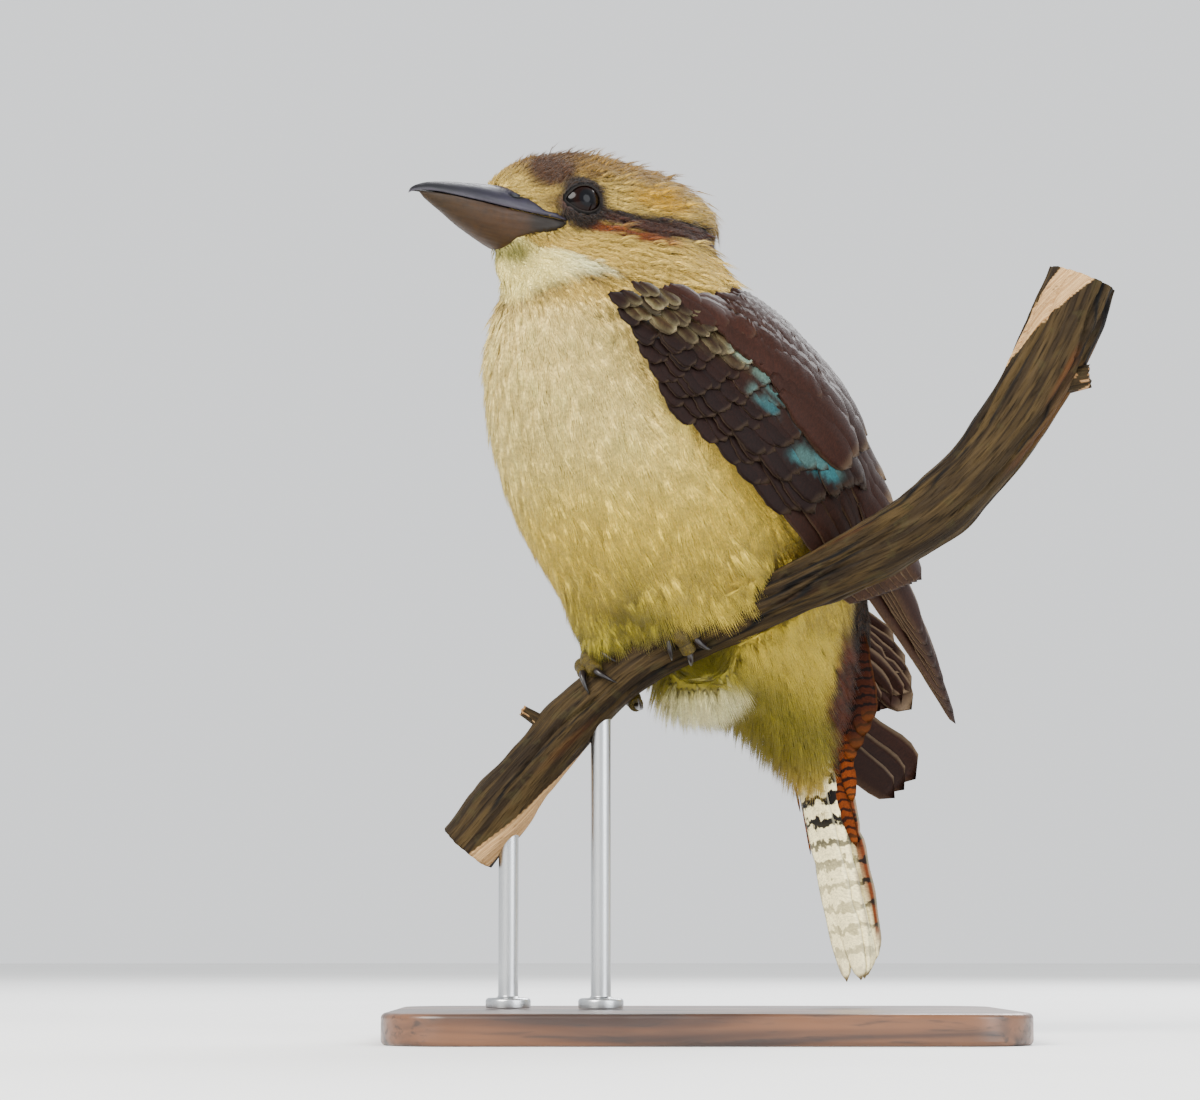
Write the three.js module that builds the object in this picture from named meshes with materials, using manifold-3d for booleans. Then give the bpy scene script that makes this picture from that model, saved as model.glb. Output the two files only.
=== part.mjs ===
// A laughing kookaburra, life size, perched on a cut length of branch that a plain display stand
// holds up. Millimetres. +Z is up, +X runs to the right of someone looking along +Y, and the origin
// is the middle of the stand's underside. The bird has a frame of its own: forward, left and up,
// from a point on top of the branch between its feet.
import * as THREE from "three";
import { mergeVertices } from "three/addons/utils/BufferGeometryUtils.js";
import Module from "manifold-3d";

const wasm = await Module();
wasm.setup();

// Driving sizes
const DEGREE = Math.PI / 180;
const GAP = 0.35; // clearance kept between touching pieces
const WELD = 1e-3; // corners closer than this are one corner
const SLACK = 0.06; // slivers flatter than this are merged away
const FEET = [-21, 0, 161]; // on top of the branch, between the feet
const BODY_TURN = 38; // how far the body faces from -X towards -Y, degrees
const BODY_LEAN = 5; // the body leans to its right by this, degrees
const HEAD_TURN = 42; // the same for the head
const HEAD_RAISE = 3; // the bill points this far above level
const HEAD_AT = [10, 0, 169]; // middle of the head in the bird's frame
const BILL_LENGTH = 58; // from the forehead feathers to the tip
const EYE_RADIUS = 8.6;
const EYE_AT = [29.7, 16.8, -1.5]; // left eyeball's middle in the head's frame
const VANE_THICKNESS = 0.7;

// Colours of the parts
const COLOURS = {
  cream: 0xd8cba0,
  brown: 0x4a3a30,
  crown: 0xb49a70,
  bill: 0x34313a,
  horn: 0x9a7a50,
  eye: 0x1c0f0c,
  foot: 0x8d8350,
  white: 0xe6e0d0,
  bark: 0x5a4634,
  base: 0x3a2a20,
  steel: 0xb0b2b4,
};

// Frames
const toBird = new THREE.Matrix4()
  .makeTranslation(...FEET)
  .multiply(new THREE.Matrix4().makeRotationZ(Math.PI + BODY_TURN * DEGREE))
  .multiply(new THREE.Matrix4().makeRotationX(BODY_LEAN * DEGREE));
const toHead = toBird
  .clone()
  .multiply(new THREE.Matrix4().makeTranslation(...HEAD_AT))
  .multiply(new THREE.Matrix4().makeRotationX(-BODY_LEAN * DEGREE))
  .multiply(new THREE.Matrix4().makeRotationZ((HEAD_TURN - BODY_TURN) * DEGREE))
  .multiply(new THREE.Matrix4().makeRotationY(-HEAD_RAISE * DEGREE));

// A geometry as a solid, its faces pointing out.
function solidOf(geometry) {
  const bare = new THREE.BufferGeometry();
  bare.setAttribute("position", geometry.getAttribute("position"));
  bare.setIndex(geometry.index);
  const merged = mergeVertices(bare, WELD);
  const triVerts = Uint32Array.from(merged.index.array);
  const vertProperties = merged.getAttribute("position").array;
  const build = () => new wasm.Manifold(new wasm.Mesh({ numProp: 3, vertProperties, triVerts }));
  const made = build();
  if (made.volume() > 0) return made;
  for (let i = 0; i < triVerts.length; i += 3) {
    [triVerts[i + 1], triVerts[i + 2]] = [triVerts[i + 2], triVerts[i + 1]];
  }
  return build();
}

// A solid as a geometry.
function geometryOf(solid) {
  const mesh = solid.getMesh();
  const geometry = new THREE.BufferGeometry();
  geometry.setAttribute("position", new THREE.BufferAttribute(mesh.vertProperties, 3));
  geometry.setIndex(new THREE.BufferAttribute(mesh.triVerts, 1));
  geometry.computeVertexNormals();
  return geometry;
}

function fuse(solids) {
  return solids.reduce((all, solid) => all.add(solid));
}

function largest(solid) {
  return solid.decompose().reduce((best, piece) => (piece.volume() > best.volume() ? piece : best));
}

// Moves each corner of a geometry to where place(corner) says.
function reshape(geometry, place) {
  const position = geometry.getAttribute("position");
  const corner = new THREE.Vector3();
  for (let i = 0; i < position.count; i += 1) {
    corner.fromBufferAttribute(position, i);
    position.setXYZ(i, ...place(corner.clone()).toArray());
  }
  return geometry;
}

// The lines through the middles and the reaches of a form's cross-sections.
function curvesOf(stations) {
  return {
    middles: new THREE.CatmullRomCurve3(stations.map((s) => new THREE.Vector3(...s.at))),
    reaches: new THREE.CatmullRomCurve3(
      stations.map((s) => new THREE.Vector3(s.half, s.top, s.under)),
    ),
  };
}

// A form through cross-sections. Each station has its middle, its half width, and how far it
// reaches above and below its middle. The width runs along lateral. Round forms close at both
// ends in a point, and cut ones in a flat face.
function loft(stations, { around, along, lateral = [0, 1, 0], grow = 0, cut = false }) {
  const { middles, reaches } = curvesOf(stations);
  const across = new THREE.Vector3(...lateral);
  const form = cut
    ? new THREE.CylinderGeometry(1, 1, 1, around, along)
    : new THREE.SphereGeometry(1, around, along);
  return reshape(form, (corner) => {
    const ring = Math.hypot(corner.x, corner.z);
    const t = cut ? 0.5 - corner.y : Math.acos(THREE.MathUtils.clamp(corner.y, -1, 1)) / Math.PI;
    const share = THREE.MathUtils.clamp(t, 0, 1);
    const tangent = middles.getTangent(share);
    const side = across.clone().addScaledVector(tangent, -across.dot(tangent)).normalize();
    const up = tangent.clone().cross(side);
    const reach = reaches.getPoint(share);
    const filled = ring > WELD ? 1 : 0;
    const cosine = filled ? corner.x / ring : 0;
    const sine = filled ? corner.z / ring : 0;
    const high = sine > 0 ? reach.y : reach.z;
    const pole = cut ? ring : filled;
    const endwise = cut ? 0 : (filled ? 0 : 1) * (share < 0.5 ? -1 : 1) * grow;
    return middles
      .getPoint(share)
      .addScaledVector(side, (reach.x + grow) * cosine * pole)
      .addScaledVector(up, (high + grow) * sine * pole)
      .addScaledVector(tangent, endwise);
  });
}

// A thin closed plate. place(along, across, face) gives each corner, with along from 0 to 1,
// across from -1 to 1 and face 1 above and -1 below. Both faces are split alike.
function plate(alongCount, acrossCount, place) {
  const columns = acrossCount + 1;
  const layer = (alongCount + 1) * columns;
  const corners = [];
  for (const face of [1, -1]) {
    for (let i = 0; i <= alongCount; i += 1) {
      for (let j = 0; j <= acrossCount; j += 1) {
        corners.push(...place(i / alongCount, (2 * j) / acrossCount - 1, face).toArray());
      }
    }
  }
  const at = (i, j, below) => i * columns + j + (below ? layer : 0);
  const triangles = [];
  for (let i = 0; i < alongCount; i += 1) {
    for (let j = 0; j < acrossCount; j += 1) {
      const [a, b, c, d] = [at(i, j), at(i + 1, j), at(i + 1, j + 1), at(i, j + 1)];
      triangles.push(a, b, c, a, c, d);
      triangles.push(a + layer, c + layer, b + layer, a + layer, d + layer, c + layer);
    }
  }
  const wall = (p, q) => triangles.push(p, p + layer, q + layer, p, q + layer, q);
  for (let i = 0; i < alongCount; i += 1) {
    wall(at(i, 0), at(i + 1, 0));
    wall(at(i + 1, acrossCount), at(i, acrossCount));
  }
  for (let j = 0; j < acrossCount; j += 1) {
    wall(at(alongCount, j), at(alongCount, j + 1));
    wall(at(0, j + 1), at(0, j));
  }
  const geometry = new THREE.BufferGeometry();
  geometry.setAttribute("position", new THREE.Float32BufferAttribute(corners, 3));
  geometry.setIndex(triangles);
  return geometry;
}

// The trunk of the body, from the root of the tail to inside the head, in the bird's frame
const trunkStation = (forward, up, half, top, under) => ({
  at: [forward, 0, up],
  half,
  top,
  under,
});
const TRUNK = [
  trunkStation(-91, -66, 0, 0, 0),
  trunkStation(-87, -54, 11, 10, 9),
  trunkStation(-81, -34, 21, 26, 20),
  trunkStation(-71, -8, 35, 42, 37),
  trunkStation(-57, 18, 50, 50, 56),
  trunkStation(-40, 46, 59, 59, 76),
  trunkStation(-25, 76, 60, 60, 83),
  trunkStation(-13, 106, 55, 50, 83),
  trunkStation(-4, 132, 44, 37, 77),
  trunkStation(3, 152, 36, 34, 67),
  trunkStation(8, 168, 24, 30, 46),
  trunkStation(10, 177, 0, 0, 0),
];
// Fluff of the belly behind the branch and over the right foot: middle and reaches in the bird's
// frame
const FLUFF = [
  { at: [-30, -3, -14], reaches: [20, 26, 17] },
  { at: [12, -11, 15], reaches: [18, 18, 23] },
];
const fluff = (grow = 0) =>
  fuse(
    FLUFF.map(({ at, reaches }) =>
      solidOf(
        new THREE.SphereGeometry(1, 12, 8)
          .scale(...reaches.map((reach) => reach + grow))
          .translate(...at)
          .applyMatrix4(toBird),
      ),
    ),
  );

const trunk = (grow = 0) =>
  solidOf(loft(TRUNK, { around: 24, along: 20, grow }).applyMatrix4(toBird));

// Moves a point of the bird's frame out to the trunk's surface grown by margin, if it is inside.
const TRUNK_SAMPLES = 90;
const trunkCurves = curvesOf(TRUNK);
const trunkPoints = trunkCurves.middles.getPoints(TRUNK_SAMPLES);
function outOfTrunk(point, margin) {
  const nearest = trunkPoints.reduce(
    (best, middle, i) =>
      middle.distanceTo(point) < trunkPoints[best].distanceTo(point) ? i : best,
    0,
  );
  const share = nearest / TRUNK_SAMPLES;
  const middle = trunkPoints[nearest];
  const reach = trunkCurves.reaches.getPoint(share);
  const up = trunkCurves.middles.getTangent(share).cross(new THREE.Vector3(0, 1, 0));
  const offset = point.clone().sub(middle);
  const high = offset.dot(up);
  const depth = Math.hypot(
    offset.y / (reach.x + margin),
    high / ((high > 0 ? reach.y : reach.z) + margin),
  );
  return depth < 1 ? middle.clone().addScaledVector(offset, 1 / depth) : point;
}

// The head in its own frame, from the nape to the forehead and on down to the chin under the bill
const headStation = (forward, up, half, top, under) => ({
  at: [forward, 0, up],
  half,
  top,
  under,
});
const SKULL = [
  headStation(-45, -3, 0, 0, 0),
  headStation(-43, -3, 17, 11, 13),
  headStation(-35, -1, 27, 18, 23),
  headStation(-18, 0, 31, 22, 28),
  headStation(2, 0, 30, 23.5, 28),
  headStation(20, 0, 26, 23.5, 26),
  headStation(34, -1, 20.5, 21.5, 27),
  headStation(44, -2, 15, 18, 28),
  headStation(52, -5, 10.5, 13, 25),
  headStation(57, -14, 7.5, 7, 15),
  headStation(61, -22, 3.5, 3, 5),
  headStation(63, -24, 0, 0, 0),
];
const skull = (grow = 0) =>
  solidOf(loft(SKULL, { around: 22, along: 18, grow }).applyMatrix4(toHead));

// The bill: each half is flat along the mouth line and bowed away from it.
const billStation = (forward, mouth, half, deep) => ({ forward, mouth, half, deep });
const UPPER_BILL = [
  billStation(18, -9.6, 0, 0),
  billStation(22, -9.6, 11, 6),
  billStation(34, -9.8, 17.3, 11.5),
  billStation(46, -9.4, 15, 13),
  billStation(58, -8.8, 12, 11.2),
  billStation(72, -8.0, 8.8, 8.6),
  billStation(84, -7.3, 5.4, 6),
  billStation(94, -7.2, 2.7, 3.4),
  billStation(100, -8.4, 1, 1.5),
  billStation(102, -9.6, 0, 0),
];
const LOWER_BILL = [
  billStation(18, -10, 0, 0),
  billStation(22, -10, 10.6, 9),
  billStation(34, -10.2, 16.9, 13.5),
  billStation(46, -9.8, 14.6, 14.6),
  billStation(58, -9.2, 11.6, 13.2),
  billStation(72, -8.4, 8.4, 9.8),
  billStation(84, -7.7, 5, 5.8),
  billStation(93, -7.6, 2.2, 2.4),
  billStation(97, -7.7, 0, 0),
];
const BILL_EDGE = 0.05; // what the flat side of each half reaches past the mouth line
function bill(stations, upper, grow = 0) {
  const sections = stations.map(({ forward, mouth, half, deep }) => ({
    at: [forward, 0, mouth],
    half,
    top: upper ? deep : BILL_EDGE,
    under: upper ? BILL_EDGE : deep,
  }));
  return solidOf(loft(sections, { around: 12, along: 14, grow }).applyMatrix4(toHead));
}

// An ellipsoid in the head's frame, facing along axis.
function headBall(at, reaches, rows = 18) {
  return new THREE.SphereGeometry(1, rows, Math.round(rows * 0.7))
    .scale(...reaches)
    .translate(...at)
    .applyMatrix4(toHead);
}

// The lids: a rim round the eyeball, in the plane that faces out of the socket.
const LID_RING = 7.4;
const LID_THICK = 1.3;
const LID_OUT = 5.4; // the rim's plane from the eyeball's middle
const EYE_FACES = [0.24, 0.97, 0.05]; // where the left eye looks, in the head's frame
function lids(side) {
  const facing = new THREE.Vector3(EYE_FACES[0], side * EYE_FACES[1], EYE_FACES[2]).normalize();
  const turn = new THREE.Quaternion().setFromUnitVectors(new THREE.Vector3(0, 0, 1), facing);
  const ring = new THREE.TorusGeometry(LID_RING, LID_THICK, 4, 16)
    .applyQuaternion(turn)
    .translate(EYE_AT[0], side * EYE_AT[1], EYE_AT[2])
    .translate(...facing.multiplyScalar(LID_OUT).toArray());
  return solidOf(ring.applyMatrix4(toHead));
}
const eyeball = (side, grow = 0) =>
  solidOf(headBall([EYE_AT[0], side * EYE_AT[1], EYE_AT[2]], Array(3).fill(EYE_RADIUS + grow), 14));

// Nostrils: slots in the upper bill, just ahead of the forehead feathers.
const NOSTRIL_AT = [55, 10.4, -3.4];
const NOSTRIL = [3.4, 2.2, 0.9];
const nostril = (side) =>
  solidOf(headBall([NOSTRIL_AT[0], side * NOSTRIL_AT[1], NOSTRIL_AT[2]], NOSTRIL, 8));

// One feather's vane on a flat sheet that bend() then curves. A tier's vanes lean like roof
// slates, each with its lower edge over the one before.
const VANE_ROWS = [0, 0.4, 0.78, 0.93, 1];
const VANE_WIDTHS = [0.6, 0.92, 1, 0.76, 0.34];
const VANE_BOW = 0.1; // how far the middle stands over the edges, in half widths
function vane(bend, { root, tip, width, heights, lean = 0, turnIn = 0 }) {
  const line = new THREE.Vector2(tip[0] - root[0], tip[1] - root[1]);
  const across = new THREE.Vector2(-line.y, line.x).normalize();
  const geometry = plate(VANE_ROWS.length - 1, 2, (share, side, face) => {
    const row = Math.round(share * (VANE_ROWS.length - 1));
    const t = VANE_ROWS[row];
    const reach = (side * width * VANE_WIDTHS[row]) / 2;
    const x = root[0] + line.x * t + across.x * reach;
    const y = root[1] + line.y * t + across.y * reach;
    const height = THREE.MathUtils.lerp(heights[0], heights[1], t);
    const bow = VANE_BOW * (width / 2) * (1 - side * side);
    const z = height + bow - lean * reach - turnIn * t * t + (face * VANE_THICKNESS) / 2;
    return bend(new THREE.Vector3(x, y, z));
  });
  return solidOf(geometry);
}

const between = (from, to, share) => from.map((value, i) => value + (to[i] - value) * share);

// A tier of vanes, its roots and tips spaced along two lines.
function tier(bend, { count, roots, tips, width, heights, lift = 0, lean = 0 }) {
  return Array.from({ length: count }, (_, i) => {
    const share = i / (count - 1);
    return vane(bend, {
      root: between(roots[0], roots[1], share),
      tip: between(tips[0], tips[1], share),
      width: typeof width === "number" ? width : THREE.MathUtils.lerp(width[0], width[1], share),
      heights: [heights[0] + lift * i * 0.3, heights[1] + lift * i],
      lean,
    });
  });
}

// The folded wing. On its flat sheet x runs from the wrist to the tip, y up towards the back, and
// z outwards. The sheet is bent round the body and along its own length.
const WING_MIDDLE = 95; // x of the frame's origin
const WING_LINE = 12; // y of the line along which the sheet touches its frame
const WING_ROUND = 64; // radius round the body
const WING_LONG = 480; // radius along the wing
const WING_CLEAR = 3; // the sheet keeps this far off the trunk
const LEFT_WING = { middle: [-33, 60, 57], along: [-0.735, -0.035, -0.68], out: [-0.12, 0.985, 0.12] };
const RIGHT_WING = { middle: [-45, 59, 45], along: [-0.73, -0.1, -0.68], out: [-0.12, 0.985, 0.12] };

function wingBend({ middle, along: lengthwise, out }, side) {
  const x = new THREE.Vector3(...lengthwise).normalize();
  const z = new THREE.Vector3(...out);
  z.addScaledVector(x, -z.dot(x)).normalize();
  const y = z.clone().cross(x);
  const frame = new THREE.Matrix4().makeBasis(x, y, z).setPosition(...middle);
  const placed = toBird.clone().multiply(new THREE.Matrix4().makeScale(1, side, 1));
  return (flat) => {
    const round = (flat.y - WING_LINE) / WING_ROUND;
    const high = (WING_ROUND + flat.z) * Math.cos(round) - WING_ROUND;
    const long = (flat.x - WING_MIDDLE) / WING_LONG;
    const point = new THREE.Vector3(
      (WING_LONG + high) * Math.sin(long),
      WING_LINE + (WING_ROUND + flat.z) * Math.sin(round),
      (WING_LONG + high) * Math.cos(long) - WING_LONG,
    ).applyMatrix4(frame);
    return outOfTrunk(point, WING_CLEAR + flat.z).applyMatrix4(placed);
  };
}

const FLIGHT_TIERS = {
  primaries: {
    count: 6,
    roots: [[74, -12], [80, 8]],
    tips: [[239, 8], [188, 6]],
    width: [12, 15],
    heights: [0.2, -3],
    lift: 1.15,
    lean: 0.04,
  },
  secondaries: {
    count: 7,
    roots: [[44, -12], [86, 32]],
    tips: [[150, -16], [166, 12]],
    width: [18, 19],
    heights: [2.2, 10.2],
    lift: 0,
    lean: 0.26,
  },
};
// The right wing hangs looser behind the tail, with its tips spread further back.
const RIGHT_TIPS = {
  primaries: [[250, -6], [228, 10]],
  secondaries: [[196, -4], [230, 34]],
};
// Coverts and scapulars: sheets of small feathers with a scalloped rear edge. The front and rear
// lines run from the breast side to the back, and heights are those of the two lines.
const COVERT_SHEETS = {
  coverts: {
    scallops: 6,
    front: [[34, -13], [42, 30]],
    rear: [[86, -19], [118, 26]],
    reach: 7,
    heights: [4.2, 9.4],
  },
  scapulars: {
    scallops: 6,
    front: [[32, 14], [60, 56]],
    rear: [[126, 20], [112, 80]],
    reach: 11,
    heights: [3, 12],
  },
};
const DRAPE_FROM = 22; // past this y the sheets sink towards the back by the slope DRAPE
const DRAPE = 0.15;
const LOWEST = -1.8; // the sheets don't sink below this
const SCALLOP = [0, 0.3, 0.7]; // corners of one scallop across it
const SCALLOP_REACH = [0, 0.85, 0.85];

function scallopSheet(bend, { scallops, front, rear, reach, heights }) {
  const columns = scallops * SCALLOP.length;
  const geometry = plate(3, columns, (along, side, face) => {
    const column = Math.round(((side + 1) / 2) * columns);
    const corner = column % SCALLOP.length;
    const share = (Math.floor(column / SCALLOP.length) + SCALLOP[corner]) / scallops;
    const start = between(front[0], front[1], share);
    const end = between(rear[0], rear[1], share);
    const onward = along > 0.9 ? reach * SCALLOP_REACH[corner] : 0;
    const [x, y] = between(start, end, along);
    const height = THREE.MathUtils.lerp(heights[0], heights[1], along ** 0.7);
    const sunk = Math.max(LOWEST, height - DRAPE * Math.max(0, y - DRAPE_FROM));
    const z = sunk + (face * VANE_THICKNESS) / 2;
    return bend(new THREE.Vector3(x + onward, y, z));
  });
  return solidOf(geometry);
}

// The arm that the roots sink into: middle and half sizes on the sheet
const ARM = { middle: [57, 21, 1], half: [48, 35, 3.6] };

function wing(side, pose, ownTips = {}) {
  const bend = wingBend(pose, side);
  const arm = reshape(new THREE.SphereGeometry(1, 14, 8), (corner) =>
    bend(corner.multiply(new THREE.Vector3(...ARM.half)).add(new THREE.Vector3(...ARM.middle))),
  );
  const vanes = Object.entries(FLIGHT_TIERS).flatMap(([name, spec]) =>
    tier(bend, { ...spec, tips: ownTips[name] ?? spec.tips }),
  );
  const sheets = Object.values(COVERT_SHEETS).map((spec) => scallopSheet(bend, spec));
  return fuse([solidOf(arm), ...sheets, ...vanes]);
}

// The tail. On its flat sheet x runs to the tip, y to the bird's left and z to the back.
const TAIL_ROOT = [-71, 0, -4];
const TAIL_TIP = [-98, 0, -139];
const TAIL_PAIRS = 6;
const TAIL_ARCH = 0.012; // the closed tail is bowed across like a roof
const TAIL_STEP = 1.05; // each pair lies this far under the one inside it
const tailX = new THREE.Vector3(...TAIL_TIP).sub(new THREE.Vector3(...TAIL_ROOT));
const TAIL_LENGTH = tailX.length();
tailX.normalize();
const tailY = new THREE.Vector3(0, 1, 0);
const tailFrame = toBird
  .clone()
  .multiply(
    new THREE.Matrix4()
      .makeBasis(tailX, tailY, tailX.clone().cross(tailY))
      .setPosition(...TAIL_ROOT),
  );
const tailBend = (flat) =>
  new THREE.Vector3(flat.x, flat.y, flat.z - TAIL_ARCH * flat.y * flat.y).applyMatrix4(tailFrame);

function tail() {
  const vanes = [];
  for (const side of [1, -1]) {
    for (let pair = 0; pair < TAIL_PAIRS; pair += 1) {
      vanes.push(
        vane(tailBend, {
          root: [6, side * (2.2 + pair * 1.3)],
          tip: [TAIL_LENGTH - 0.35 * pair * pair, side * (4.6 + pair)],
          width: 13,
          heights: [-0.7 * pair, -TAIL_STEP * pair - (side < 0 ? TAIL_STEP / 2 : 0)],
        }),
      );
    }
  }
  const root = reshape(new THREE.SphereGeometry(1, 12, 8), (corner) =>
    tailBend(new THREE.Vector3(24 + 30 * corner.y, 14 * corner.x, -2 + 7.5 * corner.z)),
  );
  return fuse([solidOf(root), ...vanes]);
}

// The cut length of branch: points of its middle line with its radius there
const PERCH = [
  [-93, 18, 76, 12.4],
  [-68, 12, 106, 11.8],
  [-44, 6, 132, 10.2],
  [-22, 0, 150, 9.6],
  [0, -6, 161, 9.6],
  [28, -17, 172.5, 10.3],
  [57, -31, 185, 11.4],
  [84, -42, 199.5, 12.5],
  [107, -49, 221, 12.8],
  [126, -54, 248, 13],
  [139, -57, 274, 13.4],
  [146, -59, 292, 13.8],
];
const perchStations = PERCH.map(([x, y, z, r]) => ({ at: [x, y, z], half: r, top: r, under: r }));
const perchLine = new THREE.CatmullRomCurve3(perchStations.map((s) => new THREE.Vector3(...s.at)));
const branch = (grow = 0) =>
  solidOf(loft(perchStations, { around: 14, along: 22, grow, cut: true }));

// A stub of a broken side shoot: where it leaves the branch, where it ends, and its radii
const STUBS = [
  { share: 0.83, to: [149, -60, 254], radii: [6.5, 4.6] },
  { share: 0.14, to: [-72, 8, 131], radii: [3.8, 2.2] },
];
function stub({ share, to, radii }) {
  const start = perchLine.getPoint(share);
  const end = new THREE.Vector3(...to);
  const line = end.clone().sub(start);
  const turn = new THREE.Quaternion().setFromUnitVectors(
    new THREE.Vector3(0, 1, 0),
    line.clone().normalize(),
  );
  const shoot = new THREE.CylinderGeometry(radii[1], radii[0], line.length(), 8, 1)
    .applyQuaternion(turn)
    .translate(...start.lerp(end, 0.5).toArray());
  return solidOf(shoot);
}

// The perch's own frame where a foot grips it: its middle, the way along it, up and towards the front.
function gripFrame(share, radius) {
  const middle = perchLine.getPoint(share);
  const lengthwise = perchLine.getTangent(share);
  const up = new THREE.Vector3(0, 0, 1);
  up.addScaledVector(lengthwise, -up.dot(lengthwise)).normalize();
  const front = lengthwise.clone().cross(up);
  return (angle, shift, height) => {
    const out = up
      .clone()
      .multiplyScalar(Math.cos(angle * DEGREE))
      .addScaledVector(front, Math.sin(angle * DEGREE));
    return middle
      .clone()
      .addScaledVector(out, radius + height)
      .addScaledVector(lengthwise, shift);
  };
}

// Toes: where each leaves the foot and where it ends, as angles round the branch from its top and
// shifts along it, with its thickness
const TOES = [
  { name: "middle", angles: [4, 126], shifts: [0, 0], radii: [4.2, 3.2], claw: 8 },
  { name: "outer", angles: [4, 104], shifts: [2, 6.6], radii: [3.8, 2.8], claw: 7 },
  { name: "inner", angles: [4, 78], shifts: [-2, -7], radii: [3.8, 2.9], claw: 7 },
  { name: "hind", angles: [-4, -84], shifts: [0, -1], radii: [4.0, 3.0], claw: 8 },
];
const TOE_STEPS = 5;
function toe(grip, { angles, shifts, radii, claw }, { side, turn }) {
  const stations = [];
  const add = (angle, shift, height, radius) =>
    stations.push({
      at: grip(angle + turn, side * shift, height).toArray(),
      half: radius,
      top: radius,
      under: radius,
    });
  for (let i = 0; i <= TOE_STEPS; i += 1) {
    const share = i / TOE_STEPS;
    const radius = THREE.MathUtils.lerp(radii[0], radii[1], share) * (i % 2 ? 0.93 : 1);
    add(
      THREE.MathUtils.lerp(angles[0], angles[1], share),
      THREE.MathUtils.lerp(shifts[0], shifts[1], share ** 0.8),
      GAP + radius,
      i === 0 ? radius * 0.7 : radius,
    );
  }
  const onward = Math.sign(angles[1]) * 14;
  const lead = shifts[1] > 0 ? 1 : -1;
  add(angles[1] + onward, shifts[1] + lead * 0.6, GAP + 3.2, 2.2);
  add(angles[1] + onward * 1.9, shifts[1] + lead * 1.6, GAP + 3.4, 1.6);
  add(angles[1] + onward * 2.7, shifts[1] + lead * 3, GAP + claw * 0.3, 0.9);
  add(angles[1] + onward * 3.3, shifts[1] + lead * 4.2, GAP + 0.9, 0.3);
  const lateral = grip(0, 1, 0).sub(grip(0, 0, 0)).toArray();
  return solidOf(loft(stations, { around: 6, along: 10, lateral }));
}

const FEET_GRIPS = {
  left: { side: 1, share: 0.345, turn: 0, hock: [-14, 16, 30] },
  right: { side: -1, share: 0.22, turn: -62, hock: [-4, -15, 20] },
};
const perchRadius = (share) => {
  const place = share * (PERCH.length - 1);
  const low = Math.floor(place);
  return THREE.MathUtils.lerp(PERCH[low][3], PERCH[low + 1][3], place - low);
};
const inBird = (at) => new THREE.Vector3(...at).applyMatrix4(toBird);

const SHANK = [4.4, 3.6, 3.4, 3.6];
function shin({ share, turn, hock }, grow = 0) {
  const ankle = gripFrame(share, perchRadius(share))(turn, 0, 5);
  const top = inBird(hock);
  const stations = SHANK.map((r, i) => ({
    at: ankle.clone().lerp(top, i / (SHANK.length - 1)).toArray(),
    half: r,
    top: r,
    under: r,
  }));
  return solidOf(loft(stations, { around: 8, along: 3, lateral: [1, 0, 0], grow, cut: true }));
}
function foot(pose) {
  const grip = gripFrame(pose.share, perchRadius(pose.share));
  return fuse([...TOES.map((spec) => toe(grip, spec, pose)), shin(pose)]);
}
// Room in the belly for the toes
const POCKET = { along: 17.5, out: 10 };
function pocket({ share }) {
  const reach = perchRadius(share) + POCKET.out;
  const turn = new THREE.Quaternion().setFromUnitVectors(
    new THREE.Vector3(0, 1, 0),
    perchLine.getTangent(share),
  );
  return solidOf(
    new THREE.SphereGeometry(1, 10, 6)
      .scale(reach, POCKET.along, reach)
      .applyQuaternion(turn)
      .translate(...perchLine.getPoint(share).toArray()),
  );
}

// Where the feathered thigh lies, from inside the belly to the hock
const THIGHS = {
  left: [
    [[-54, 32, 58], 0],
    [[-49, 32, 52], 22],
    [[-38, 30, 40], 29],
    [[-27, 25, 28], 25],
    [[-18, 19, 18], 16],
    [[-12, 16, 12], 0],
  ],
  right: [
    [[-44, -32, 52], 0],
    [[-38, -32, 46], 22],
    [[-22, -30, 31], 29],
    [[-6, -24, 17], 23],
    [[6, -18, 4], 13],
    [[11, -14, -3], 0],
  ],
};
const thigh = (name, grow = 0) =>
  solidOf(
    loft(
      THIGHS[name].map(([at, r]) => ({ at, half: r, top: r, under: r })),
      { around: 12, along: 8, grow },
    ).applyMatrix4(toBird),
  );

// The stand: a base with rounded corners and two rods, each in a collar
const BASE = { size: [244, 176, 12], corner: 26, bevel: 2 };
const RODS = [0.06, 0.2]; // places along the branch
const ROD_RADIUS = 4;
const COLLAR = { radius: 9, height: 4 };

function standBase() {
  const [x, y] = [BASE.size[0] / 2 - BASE.bevel, BASE.size[1] / 2 - BASE.bevel];
  const r = BASE.corner;
  const outline = new THREE.Shape();
  outline.moveTo(x - r, -y);
  outline.absarc(x - r, r - y, r, -Math.PI / 2, 0);
  outline.absarc(x - r, y - r, r, 0, Math.PI / 2);
  outline.absarc(r - x, y - r, r, Math.PI / 2, Math.PI);
  outline.absarc(r - x, r - y, r, Math.PI, 1.5 * Math.PI);
  const slab = new THREE.ExtrudeGeometry(outline, {
    depth: BASE.size[2] - 2 * BASE.bevel,
    bevelSize: BASE.bevel,
    bevelThickness: BASE.bevel,
    bevelSegments: 1,
    curveSegments: 4,
  });
  return solidOf(slab.translate(0, 0, BASE.bevel));
}

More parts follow.
